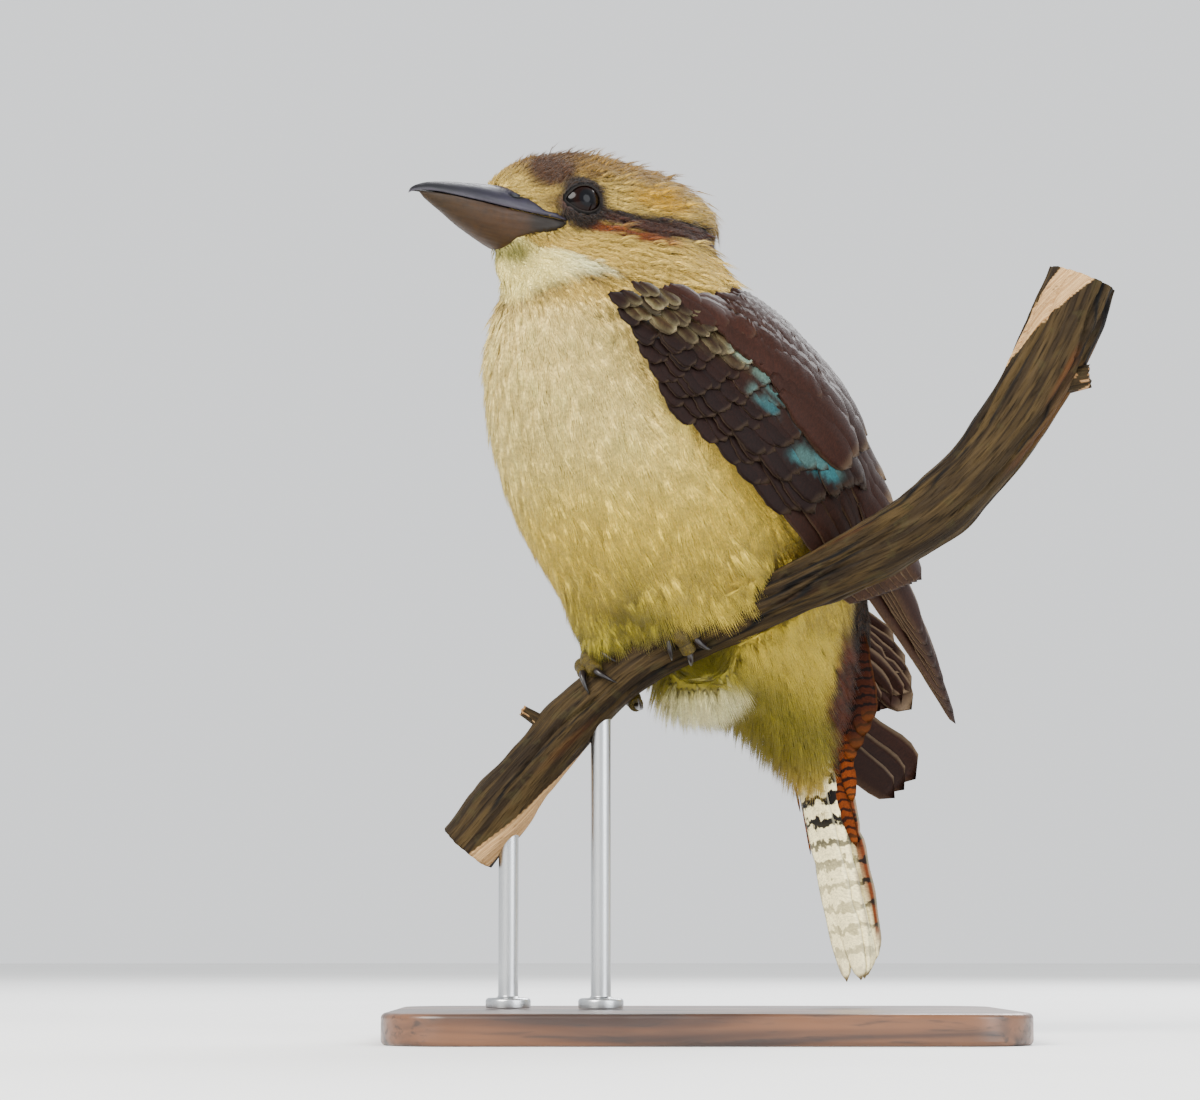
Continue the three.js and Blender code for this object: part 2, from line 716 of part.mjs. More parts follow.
function standRod(share) {
  const foothold = perchLine.getPoint(share);
  const bottom = BASE.size[2] + GAP;
  const collarTop = bottom + COLLAR.height;
  const profile = [
    [0, bottom],
    [COLLAR.radius, bottom],
    [COLLAR.radius, collarTop - 1],
    [COLLAR.radius - 1, collarTop],
    [ROD_RADIUS, collarTop],
    [ROD_RADIUS, foothold.z],
    [0, foothold.z],
  ].map(([r, z]) => new THREE.Vector2(r, z));
  const rod = new THREE.LatheGeometry(profile, 16)
    .rotateX(Math.PI / 2)
    .translate(foothold.x, foothold.y, 0);
  return solidOf(rod);
}

// A thin slab through the neck, square to a line, that parts the pieces on its two sides
function slab(at, facing, frame, thick = GAP) {
  const turn = new THREE.Quaternion().setFromUnitVectors(
    new THREE.Vector3(0, 0, 1),
    new THREE.Vector3(...facing).normalize(),
  );
  return solidOf(
    new THREE.BoxGeometry(300, 300, thick)
      .applyQuaternion(turn)
      .translate(...at)
      .applyMatrix4(frame),
  );
}

const part = new THREE.Group();
function addMesh(name, solid, color, roughness = 0.7, metalness = 0) {
  const material = new THREE.MeshStandardMaterial({ color, roughness, metalness });
  const mesh = new THREE.Mesh(geometryOf(largest(solid.simplify(SLACK))), material);
  mesh.name = name;
  part.add(mesh);
}

// The perch, and the space that everything touching it keeps clear
const perchSolid = fuse([branch(), ...STUBS.map(stub)]);
const perchSpace = branch(GAP);

// The flesh is made whole and then parted where the head, the neck and the rump meet.
const eyes = { left: eyeball(1), right: eyeball(-1) };
const eyeSpace = eyeball(1, GAP).add(eyeball(-1, GAP));
const billUpper = bill(UPPER_BILL, true)
  .subtract(nostril(1))
  .subtract(nostril(-1))
  .subtract(eyeSpace);
const billLower = bill(LOWER_BILL, false).subtract(eyeSpace);
const billSpace = bill(UPPER_BILL, true, GAP).add(bill(LOWER_BILL, false, GAP));
const legSpace = fuse(
  Object.values(FEET_GRIPS).flatMap((pose) => [shin(pose, GAP), pocket(pose)]),
);
const flesh = fuse([trunk(), fluff(), skull(), lids(1), lids(-1)])
  .subtract(perchSpace)
  .subtract(billSpace)
  .subtract(eyeSpace)
  .subtract(legSpace);

// Where the flesh is parted: a point and the way the cut faces, in the bird's frame
const CUTS = [
  { at: [-6, 0, 136], facing: [0.12, 0, 1] },
  { at: [-20, 0, 106], facing: [0.3, 0, 1] },
  { at: [-66, 0, -2], facing: [0.45, 0, 1] },
];
const cuts = [
  ...CUTS.map(({ at, facing }) => slab(at, facing, toBird)),
  thigh("left", GAP),
  thigh("right", GAP),
];
const SMALLEST = 3000; // cubic millimetres; what a cut leaves loose is smaller
const fleshPieces = cuts
  .reduce((whole, cut) => whole.subtract(cut), flesh)
  .decompose()
  .filter((piece) => piece.volume() > SMALLEST)
  .sort((a, b) => b.boundingBox().max[2] - a.boundingBox().max[2]);
const FLESH_NAMES = ["head", "neck", "torso", "rump"];
if (fleshPieces.length !== FLESH_NAMES.length) {
  throw new Error(`the flesh parted in ${fleshPieces.length}`);
}
const fleshSpace = trunk(GAP).add(fluff(GAP));

const tailSolid = largest(tail().subtract(fleshSpace));
const thighSolids = {};
const footSolids = {};
const wingSolids = {};
for (const [name, pose] of Object.entries(FEET_GRIPS)) {
  thighSolids[name] = largest(flesh.intersect(thigh(name)));
  footSolids[name] = foot(pose);
}
wingSolids.left = largest(wing(1, LEFT_WING).subtract(fleshSpace).subtract(perchSpace));
wingSolids.right = largest(wing(-1, RIGHT_WING, RIGHT_TIPS).subtract(fleshSpace).subtract(perchSpace));

FLESH_NAMES.forEach((name, i) => {
  addMesh(name, fleshPieces[i], i < 2 ? COLOURS.crown : COLOURS.cream, 0.95);
});
addMesh("bill_upper", billUpper, COLOURS.bill, 0.4);
addMesh("bill_lower", billLower, COLOURS.horn, 0.45);
for (const name of ["left", "right"]) {
  addMesh(`eye_${name}`, eyes[name], COLOURS.eye, 0.1);
  addMesh(`wing_${name}`, wingSolids[name], COLOURS.brown, 0.9);
  addMesh(`thigh_${name}`, thighSolids[name], COLOURS.cream, 0.95);
  addMesh(`foot_${name}`, footSolids[name], COLOURS.foot, 0.6);
}
addMesh("tail", tailSolid, COLOURS.white, 0.9);
addMesh("perch", perchSolid, COLOURS.bark, 0.9);
addMesh("stand_base", standBase(), COLOURS.base, 0.5);
RODS.forEach((share, i) => {
  addMesh(`stand_rod_${i + 1}`, largest(standRod(share).subtract(perchSpace)), COLOURS.steel, 0.3, 0.9);
});

export default part;
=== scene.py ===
"""A laughing kookaburra perched on a cut branch over a plain display stand: the dressed model."""

import sys
import itertools
import logging
import math
from dataclasses import dataclass, field, replace
from enum import Enum
from typing import Callable, Sequence

import bmesh
import bpy
import numpy as np
from bmesh.types import BMEdge, BMesh, BMFace, BMVert
from bpy.types import Material, Mesh, Node, NodeSocket, NodeTree, Object
from mathutils import Matrix, Vector
from mathutils.bvhtree import BVHTree


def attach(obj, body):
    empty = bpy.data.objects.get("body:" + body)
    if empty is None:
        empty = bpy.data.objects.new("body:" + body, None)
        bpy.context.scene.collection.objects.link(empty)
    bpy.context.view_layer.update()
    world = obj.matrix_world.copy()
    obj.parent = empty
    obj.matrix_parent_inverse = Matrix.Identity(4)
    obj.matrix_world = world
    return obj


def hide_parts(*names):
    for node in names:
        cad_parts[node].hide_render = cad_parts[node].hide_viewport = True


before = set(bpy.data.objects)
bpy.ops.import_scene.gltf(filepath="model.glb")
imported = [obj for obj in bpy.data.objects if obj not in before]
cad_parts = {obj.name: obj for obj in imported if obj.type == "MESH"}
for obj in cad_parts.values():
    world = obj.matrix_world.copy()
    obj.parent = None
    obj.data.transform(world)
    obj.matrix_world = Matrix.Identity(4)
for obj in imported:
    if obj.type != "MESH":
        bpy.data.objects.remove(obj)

LOG = logging.getLogger("kookaburra")
MM = 0.001
WELD = 1e-6  # corners closer than this, in metres, become one
BODY = "root"
Points = np.ndarray
Colour = tuple[float, float, float]


# ---- numbers and frames


def paint(red: float, green: float, blue: float) -> Colour:
    """Gives the linear colour of a display colour with channels from 0 to 255."""
    return tuple((c / 255.0) ** 2.2 for c in (red, green, blue))


def ease(low: float, high: float, value: Points) -> Points:
    """Rises smoothly from 0 where value is low to 1 where it is high."""
    share = np.clip((value - low) / (high - low), 0.0, 1.0)
    return share * share * (3.0 - 2.0 * share)


def bell(offset: Points, width: float) -> Points:
    """Gives 1 where the offset is 0, fading to nothing over about twice the width."""
    return np.exp(-((offset / width) ** 2))


def mix(base: Points, colour: Points, share: Points) -> Points:
    """Lays a colour over others, one in each row, by a share for each row."""
    return base + (colour - base) * share[:, None]


def unit(vectors: Points) -> Points:
    """Scales vectors, one in each row, to length 1."""
    return vectors / np.maximum(np.linalg.norm(vectors, axis=-1, keepdims=True), 1e-9)


def drift(points: Points, size: float, seed: int = 0) -> Points:
    """Makes smooth noise from -1 to 1.

    Args:
        points: Places in millimetres, one in each row.
        size: How far apart the swings lie, in millimetres.
        seed: Another number gives another noise.

    Returns:
        One value for each place.
    """
    scaled = points / size + 31.7 * seed
    cell = np.floor(scaled).astype(np.int64)
    part = scaled - cell
    part = part * part * (3.0 - 2.0 * part)
    total = np.zeros(len(points))
    for corner in itertools.product((0, 1), repeat=3):
        key = (cell + corner) @ np.array([73856093, 19349663, 83492791])
        key = ((key ^ (key >> 13)) * 1274126177) & 0x7FFFFFFF
        weight = np.prod(np.where(np.array(corner) == 1, part, 1.0 - part), axis=1)
        total += weight * (key / 0x3FFFFFFF - 1.0)
    return total


def moved(x: float, y: float, z: float) -> Points:
    """Gives the 4x4 matrix of a shift in millimetres.

    Args:
        x: Along X.
        y: Along Y.
        z: Along Z.

    Returns:
        The matrix.
    """
    matrix = np.eye(4)
    matrix[:3, 3] = (x, y, z)
    return matrix


def turned(degrees: float, axis: str) -> Points:
    """Gives the 4x4 matrix of a turn about an axis named X, Y or Z."""
    return np.array(Matrix.Rotation(math.radians(degrees), 4, axis))


def place(matrix: Points, points: Points) -> Points:
    """Moves points, one in each row, by a 4x4 matrix."""
    return points @ matrix[:3, :3].T + matrix[:3, 3]


def place_back(matrix: Points, points: Points) -> Points:
    """Moves points by the inverse of a 4x4 matrix."""
    return place(np.linalg.inv(matrix), points)


# The bird's frame (forward, left, up) stands on the branch between the feet, and the head has
# its own. Both are those of the solids.
BIRD = moved(-21, 0, 161) @ turned(218, "Z") @ turned(5, "X")
HEAD = BIRD @ moved(10, 0, 169) @ turned(-5, "X") @ turned(4, "Z") @ turned(-3, "Y")


def spline(stations: Points, shares: Points) -> Points:
    """Follows a smooth curve through rows of numbers.

    Args:
        stations: The rows that the curve passes through.
        shares: Places along it, from 0 at the first row to 1 at the last.

    Returns:
        One row for each share.
    """
    rows = np.asarray(stations, float)
    last = len(rows) - 1
    held = np.vstack([2 * rows[0] - rows[1], rows, 2 * rows[-1] - rows[-2]])
    spot = np.clip(shares, 0, 1) * last
    leg = np.minimum(spot.astype(int), last - 1)
    t = (spot - leg)[:, None]
    p0, p1, p2, p3 = (held[leg + i] for i in range(4))
    d0, d1, d2 = (
        np.sqrt(np.linalg.norm(b - a, axis=1, keepdims=True)) for a, b in ((p0, p1), (p1, p2), (p2, p3))
    )
    d1 = np.where(d1 < 1e-4, 1.0, d1)
    d0 = np.where(d0 < 1e-4, d1, d0)
    d2 = np.where(d2 < 1e-4, d1, d2)
    out = ((p1 - p0) / d0 - (p2 - p0) / (d0 + d1) + (p2 - p1) / d1) * d1
    into = ((p2 - p1) / d1 - (p3 - p1) / (d1 + d2) + (p3 - p2) / d2) * d1
    return p1 + out * t + (3 * (p2 - p1) - 2 * out - into) * t**2 + (2 * (p1 - p2) + out + into) * t**3


@dataclass(frozen=True)
class Loft:
    """A form through cross-sections, as the solids have it.

    Each station is a row: its middle's x, y and z, its half width, and its reach above and
    below the middle, in millimetres.
    """

    stations: tuple[tuple[float, ...], ...]
    lateral: tuple[float, float, float] = (0.0, 1.0, 0.0)

    def axes(self, shares: Points) -> tuple[Points, Points, Points, Points]:
        """Gives the middles, the sideways and upward directions, and the reaches at shares.

        Args:
            shares: Places along the form, 0 to 1.

        Returns:
            One row of each for every share.
        """
        rows = np.array(self.stations)
        middles = rows[:, :3]
        step = 1e-4
        tangent = unit(
            spline(middles, np.clip(shares + step, 0, 1)) - spline(middles, np.clip(shares - step, 0, 1))
        )
        across = np.array(self.lateral)
        side = unit(across - tangent * (tangent @ across)[:, None])
        return spline(middles, shares), side, np.cross(tangent, side), spline(rows[:, 3:], shares)

    def surface(self, shares: Points, turns: Points, grow: Points | float = 0.0) -> Points:
        """Places points on the surface.

        Args:
            shares: Places along the form, 0 to 1.
            turns: Angles round it in radians, 0 sideways and a quarter turn upward.
            grow: Distance outside the surface.

        Returns:
            One point for each share and turn.
        """
        middle, side, up, reach = self.axes(shares)
        high = np.where(np.sin(turns) > 0, reach[:, 1], reach[:, 2]) + grow
        wide = (reach[:, 0] + grow) * np.cos(turns)
        return middle + side * wide[:, None] + up * (high * np.sin(turns))[:, None]


TRUNK = Loft(
    (
        (-91, 0, -66, 0, 0, 0),
        (-87, 0, -54, 11, 10, 9),
        (-81, 0, -34, 21, 26, 20),
        (-71, 0, -8, 35, 42, 37),
        (-57, 0, 18, 50, 50, 56),
        (-40, 0, 46, 59, 59, 76),
        (-25, 0, 76, 60, 60, 83),
        (-13, 0, 106, 55, 50, 83),
        (-4, 0, 132, 44, 37, 77),
        (3, 0, 152, 36, 34, 67),
        (8, 0, 168, 24, 30, 46),
        (10, 0, 177, 0, 0, 0),
    )
)
TRUNK_SHARES = np.linspace(0, 1, 121)
TRUNK_AXES = TRUNK.axes(TRUNK_SHARES)


def trunk_share(points: Points) -> Points:
    """Gives the index of the trunk's cross-section nearest each point of the bird's frame."""
    return np.argmin(np.linalg.norm(points[:, None] - TRUNK_AXES[0][None], axis=2), axis=1)


def out_of_trunk(points: Points, margin: Points) -> Points:
    """Moves points of the bird's frame out to the trunk grown by margin, if they are inside.

    Args:
        points: Places in the bird's frame.
        margin: How far outside the trunk they have to be.

    Returns:
        The moved places.
    """
    nearest = trunk_share(points)
    middle, _, up, reach = (part[nearest] for part in TRUNK_AXES)
    offset = points - middle
    high = np.sum(offset * up, axis=1)
    tall = np.where(high > 0, reach[:, 1], reach[:, 2])
    depth = np.hypot(offset[:, 1] / (reach[:, 0] + margin), high / (tall + margin))
    return middle + offset / np.minimum(depth, 1.0)[:, None]


# ---- meshes


def link_mesh(name: str, mesh: Mesh) -> Object:
    """Puts a mesh in the scene as an object at the origin.

    Args:
        name: The object's name.
        mesh: Its mesh.

    Returns:
        The object.
    """
    made = bpy.data.objects.new(name, mesh)
    bpy.context.scene.collection.objects.link(made)
    return made


def arrays_of(shape: BMesh) -> tuple[Points, Points]:
    """Gives the corners of a triangulated bmesh and its triangles, and frees it.

    Args:
        shape: The bmesh, in any unit.

    Returns:
        The corners and the triangles.
    """
    bmesh.ops.triangulate(shape, faces=shape.faces[:])
    shape.verts.index_update()
    corners = np.array([v.co[:] for v in shape.verts])
    triangles = np.array([[v.index for v in f.verts] for f in shape.faces])
    shape.free()
    return corners, triangles


def set_colours(mesh: Mesh, name: str, colours: Points) -> None:
    """Writes one colour a corner, with three or four channels, as an attribute.

    Args:
        mesh: The mesh.
        name: The attribute's name.
        colours: One row a corner.
    """
    if colours.shape[1] == 3:
        colours = np.hstack([colours, np.ones((len(colours), 1))])
    layer = mesh.attributes.new(name, "FLOAT_COLOR", "POINT")
    layer.data.foreach_set("color", colours.astype(np.float32).ravel())


def set_map(mesh: Mesh, name: str, places: Points) -> None:
    """Writes a UV map from one place a corner.

    Args:
        mesh: The mesh.
        name: The map's name.
        places: One row a corner.
    """
    layer = mesh.uv_layers.new(name=name)
    corner = np.zeros(len(mesh.loops), np.int32)
    mesh.loops.foreach_get("vertex_index", corner)
    layer.data.foreach_set("uv", places[corner].astype(np.float32).ravel())


def mesh_of(name: str, corners: Points, triangles: Points) -> Mesh:
    """Makes a mesh of triangles from corners in millimetres.

    Args:
        name: The mesh's name.
        corners: Its corners.
        triangles: Three corner numbers in each row.

    Returns:
        The mesh.
    """
    mesh = bpy.data.meshes.new(name)
    mesh.vertices.add(len(corners))
    mesh.vertices.foreach_set("co", (corners * MM).astype(np.float32).ravel())
    mesh.loops.add(3 * len(triangles))
    mesh.loops.foreach_set("vertex_index", triangles.astype(np.int32).ravel())
    mesh.polygons.add(len(triangles))
    mesh.polygons.foreach_set("loop_start", np.arange(0, 3 * len(triangles), 3, dtype=np.int32))
    mesh.update(calc_edges=True)
    mesh.shade_smooth()
    return mesh


def finished(name: str, shape: BMesh) -> Object:
    """Turns a bmesh in metres into a smooth shaded object with its faces pointing out, and frees it.

    Args:
        name: The object's name.
        shape: The bmesh.

    Returns:
        The object.
    """
    bmesh.ops.recalc_face_normals(shape, faces=shape.faces[:])
    mesh = bpy.data.meshes.new(name)
    shape.to_mesh(mesh)
    shape.free()
    mesh.shade_smooth()
    return link_mesh(name, mesh)


def mould_verts(verts: Sequence[BMVert], mould: Callable[[Points], Points]) -> None:
    """Moves corners to where a function of their places puts them, in millimetres."""
    for vertex, corner in zip(verts, mould(np.array([v.co[:] for v in verts])) * MM):
        vertex.co = corner


def corners_of(piece: Object) -> Points:
    """Gives the corners of a piece in millimetres.

    Args:
        piece: The piece.

    Returns:
        One corner in each row.
    """
    buffer = np.zeros(3 * len(piece.data.vertices), np.float32)
    piece.data.vertices.foreach_get("co", buffer)
    return buffer.reshape(-1, 3).astype(float) / MM


def reshaped(name: str, shape: BMesh, mould: Callable[[Points], Points]) -> Object:
    """Turns a bmesh into an object whose corners a function has moved.

    Args:
        name: The object's name.
        shape: The shape to start from, which is freed.
        mould: Takes the corners' places and gives their new ones, in millimetres.

    Returns:
        The new object, smooth shaded, with its faces pointing out.
    """
    mould_verts(shape.verts[:], mould)
    bmesh.ops.remove_doubles(shape, verts=shape.verts[:], dist=1e-7)
    return finished(name, shape)


def spun(shape: BMesh, line: Sequence[BMVert], edges: Sequence[BMEdge], steps: int) -> None:
    """Spins a line of corners and edges round Z into a closed form.

    Args:
        shape: The bmesh.
        line: The corners.
        edges: The edges.
        steps: Faces round the form.
    """
    around = {"cent": (0, 0, 0), "axis": (0, 0, 1), "angle": math.tau, "steps": steps}
    bmesh.ops.spin(shape, geom=[*line, *edges], use_merge=True, use_duplicate=False, **around)


def rounded(shape: BMesh, edges: Sequence[BMEdge], offset: float, segments: int) -> None:
    """Rounds edges by an offset in millimetres.

    Args:
        shape: The bmesh.
        edges: The edges.
        offset: How far the rounding reaches.
        segments: Faces across it.
    """
    bmesh.ops.bevel(
        shape, geom=edges, offset=offset * MM, offset_type="OFFSET", segments=segments, profile=0.5,
        affect="EDGES", material=-1,
    )


def relaxed(shape: BMesh, factor: float) -> None:
    """Smooths every corner once."""
    bmesh.ops.smooth_vert(
        shape, verts=shape.verts[:], factor=factor, use_axis_x=True, use_axis_y=True, use_axis_z=True
    )


def ball(around: int, rows: int) -> BMesh:
    """Starts a closed round form.

    Args:
        around: Faces round it.
        rows: Rows of faces from pole to pole.

    Returns:
        The bmesh, of radius 1.
    """
    shape = bmesh.new()
    bmesh.ops.create_uvsphere(shape, u_segments=around, v_segments=rows, radius=1.0)
    return shape


def ball_shares(corners: Points) -> tuple[Points, Points]:
    """Gives the share from end to end and the turn of each corner of a ball."""
    share = np.arccos(np.clip(corners[:, 2], -1, 1)) / math.pi
    return share, np.arctan2(corners[:, 1], corners[:, 0])


def material_on(piece: Object, material: Material) -> None:
    """Gives a piece one material."""
    piece.data.materials.clear()
    piece.data.materials.append(material)


def declare(piece: Object, slot: str, *nodes: str) -> None:
    """Attaches a piece to the body, hides the CAD nodes that it stands in for, and logs it.

    Args:
        piece: The piece.
        slot: Its material slot; not used.
        *nodes: The CAD nodes that it stands in for.
    """
    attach(piece, BODY)
    if nodes:
        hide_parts(*nodes)
    LOG.info("%s: %d faces", piece.name, len(piece.data.polygons))


def dress(piece: Object, material: Material, slot: str, *nodes: str) -> None:
    material_on(piece, material)
    declare(piece, slot, *nodes)


# ---- finishes


class Wiring:
    """Adds nodes to the tree of a material or of a node group."""

    def __init__(self, tree: NodeTree) -> None:
        """Takes the tree that the nodes go in."""
        self.tree = tree

    def node(
        self, kind: str, inputs: dict[str | int, object] | None = None, **settings: object
    ) -> Node:
        """Adds a node.

        Args:
            kind: Its type without the leading ShaderNode, or GROUP and the group's name.
            inputs: For each input's name or number, a plain value or the socket that feeds it.
            **settings: Its own properties.

        Returns:
            The new node.
        """
        if kind.startswith("GROUP "):
            made = self.tree.nodes.new("ShaderNodeGroup")
            made.node_tree = bpy.data.node_groups[kind[6:]]
        else:
            made = self.tree.nodes.new("ShaderNode" + kind)
        for name, value in settings.items():
            setattr(made, name, value)
        for name, value in (inputs or {}).items():
            if isinstance(value, NodeSocket):
                self.tree.links.new(value, made.inputs[name])
            elif isinstance(value, tuple) and len(value) == 3 and made.inputs[name].type == "RGBA":
                made.inputs[name].default_value = (*value, 1.0)
            else:
                made.inputs[name].default_value = value
        return made

    def maths(self, operation: str, *values: object, clamp: bool = False) -> NodeSocket:
        """Adds a Math node on plain values or sockets and gives its output."""
        return self.node("Math", dict(enumerate(values)), operation=operation, use_clamp=clamp).outputs[0]

    def blend(self, share: object, first: object, second: object, kind: str = "MIX") -> NodeSocket:
        """Mixes two colours by a share and gives the colour.

        Args:
            share: How much of the second.
            first: A colour or its socket.
            second: The same.
            kind: How they mix.

        Returns:
            The colour's socket.
        """
        mixer = self.node("Mix", {0: share}, data_type="RGBA", blend_type=kind)
        for socket, value in ((mixer.inputs[6], first), (mixer.inputs[7], second)):
            if isinstance(value, NodeSocket):
                self.tree.links.new(value, socket)
            else:
                socket.default_value = (*value, 1.0)
        return mixer.outputs[2]

    def stretch(
        self, value: object, low: float, high: float, to_low: float = 0.0, to_high: float = 1.0
    ) -> NodeSocket:
        """Maps a value smoothly from one range to another."""
        inputs = {0: value, 1: low, 2: high, 3: to_low, 4: to_high}
        return self.node("MapRange", inputs, interpolation_type="SMOOTHSTEP").outputs[0]

    def noise(self, vector: object, scale: float, detail: float = 3.0, distortion: float = 0.0) -> NodeSocket:
        """Adds a noise texture and gives its value."""
        inputs = {"Vector": vector, "Scale": scale, "Detail": detail, "Distortion": distortion}
        return self.node("TexNoise", inputs).outputs[0]

    def place(self) -> NodeSocket:
        """Gives the place on the piece, in metres."""
        return self.node("TexCoord").outputs["Object"]

    def parts(self, attribute: str) -> Sequence[NodeSocket]:
        """Gives the red, green and blue of a colour attribute."""
        return self.node(
            "SeparateColor", {0: self.node("Attribute", attribute_name=attribute).outputs["Color"]}
        ).outputs

    def mottle(self, vector: NodeSocket, colour: object, size: float, amount: float) -> NodeSocket:
        """Adds the Mottle group and gives its colour.

        Args:
            vector: The place.
            colour: A colour or its socket.
            size: The scale.
            amount: The strength.

        Returns:
            The colour's socket.
        """
        inputs = {"Vector": vector, "Colour": colour, "Size": size, "Amount": amount}
        return self.node("GROUP Mottle", inputs).outputs["Colour"]

    def grain(self, scale: float, stretch: float, vector: NodeSocket | None = None) -> Sequence[NodeSocket]:
        """Adds the Wood grain group, along the Lengthwise map unless told, and gives its outputs."""
        vector = vector or self.node("UVMap", uv_map="Lengthwise").outputs[0]
        return self.node("GROUP Wood grain", {"Vector": vector, "Scale": scale, "Stretch": stretch}).outputs

    def bump(self, height: NodeSocket, strength: float, distance: float) -> NodeSocket:
        """Adds a Bump node and gives its normal."""
        return self.node("Bump", {"Height": height, "Strength": strength, "Distance": distance}).outputs[0]

    def surface(self, **values: object) -> Node:
        """Adds the Principled shader and the output, with sockets named by words joined by _.

        Args:
            **values: A plain value or a socket for each of its inputs.

        Returns:
            The shader.
        """
        inputs = {key.replace("_", " ").title().replace("Ior", "IOR"): value for key, value in values.items()}
        shader = self.node("BsdfPrincipled", inputs)
        output = self.tree.nodes.new("ShaderNodeOutputMaterial")
        self.tree.links.new(shader.outputs[0], output.inputs[0])
        return shader


def new_material(name: str) -> tuple[Material, Wiring]:
    """Makes an empty material and the wiring for it.

    Args:
        name: Its name.

    Returns:
        The material and its wiring.
    """
    made = bpy.data.materials.new(name)
    made.use_nodes = True
    made.node_tree.nodes.clear()
    return made, Wiring(made.node_tree)


def new_group(
    name: str, inputs: dict[str, tuple[str, object]], outputs: dict[str, str]
) -> tuple[Wiring, object, object]:
    """Starts a node group.

    Args:
        name: The group's name.
        inputs: For each input, its socket type and default value or None.
        outputs: For each output, its socket type.

    Returns:
        The wiring, the node that holds the inputs, and the one that takes the outputs.
    """
    tree = bpy.data.node_groups.new(name, "ShaderNodeTree")
    for title, (kind, value) in inputs.items():
        made = tree.interface.new_socket(name=title, in_out="INPUT", socket_type=kind)
        if value is not None:
            made.default_value = value
    for title, kind in outputs.items():
        tree.interface.new_socket(name=title, in_out="OUTPUT", socket_type=kind)
    return Wiring(tree), tree.nodes.new("NodeGroupInput"), tree.nodes.new("NodeGroupOutput")


def build_groups() -> None:
    """Builds the effects that more than one finish uses."""
    number, vector, colour = "NodeSocketFloat", "NodeSocketVector", "NodeSocketColor"
    w, given, taken = new_group(
        "Mottle",
        {"Vector": (vector, None), "Colour": (colour, None), "Size": (number, 100.0), "Amount": (number, 0.2)},
        {"Colour": colour, "Value": number},
    )
    broad = w.noise(given.outputs["Vector"], 1.0, 4.0)
    w.tree.links.new(given.outputs["Size"], broad.node.inputs["Scale"])
    change = w.maths(
        "MULTIPLY", w.maths("SUBTRACT", broad, 0.5), w.maths("MULTIPLY", given.outputs["Amount"], 4.0)
    )
    value = w.maths("ADD", change, 1.0)
    tuned = w.node("HueSaturation", {"Value": value, "Color": given.outputs["Colour"]})
    w.tree.links.new(tuned.outputs[0], taken.inputs["Colour"])
    w.tree.links.new(broad, taken.inputs["Value"])

    w, given, taken = new_group(
        "Feather bars",
        {
            "Vane": (vector, None),
            "Vector": (vector, None),
            "Spacing": (number, 3.0),
            "Width": (number, 0.5),
            "Wobble": (number, 0.4),
        },
        {"Mask": number},
    )
    parts = w.node("SeparateXYZ", {0: given.outputs["Vane"]})
    along = w.maths("MULTIPLY", parts.outputs[0], 100.0)
    lean = w.maths("MULTIPLY", w.maths("ABSOLUTE", w.maths("SUBTRACT", parts.outputs[1], 0.5)), 2.0)
    shake = w.maths(
        "MULTIPLY", w.maths("SUBTRACT", w.noise(given.outputs["Vector"], 260.0, 2.0), 0.5),
        given.outputs["Wobble"]
    )
    wave = w.maths(
        "ADD", w.maths("DIVIDE", w.maths("SUBTRACT", along, lean), given.outputs["Spacing"]),
        w.maths("MULTIPLY", shake, 4.0)
    )
    rise = w.maths("SINE", w.maths("MULTIPLY", wave, math.tau))
    level = w.maths("SUBTRACT", w.maths("ADD", rise, given.outputs["Width"]), 0.4)
    mask = w.maths("MULTIPLY", level, 2.2, clamp=True)
    w.tree.links.new(mask, taken.inputs["Mask"])

    w, given, taken = new_group(
        "Wood grain",
        {"Vector": (vector, None), "Scale": (number, 60.0), "Stretch": (number, 12.0)},
        {"Fine": number, "Broad": number, "Height": number},
    )
    parts = w.node("SeparateXYZ", {0: given.outputs["Vector"]})
    slow = w.maths("DIVIDE", parts.outputs[0], given.outputs["Stretch"])
    squeezed = w.node("CombineXYZ", {0: slow, 1: parts.outputs[1], 2: parts.outputs[2]})
    fine = w.noise(squeezed.outputs[0], 1.0, 6.0, 0.4)
    broad = w.noise(squeezed.outputs[0], 1.0, 2.0, 0.8)
    w.tree.links.new(w.maths("MULTIPLY", given.outputs["Scale"], 6.0), fine.node.inputs["Scale"])
    w.tree.links.new(given.outputs["Scale"], broad.node.inputs["Scale"])
    for title, value in (
        ("Fine", fine), ("Broad", broad), ("Height", w.maths("ADD", w.maths("MULTIPLY", fine, 0.6), broad))
    ):
        w.tree.links.new(value, taken.inputs[title])


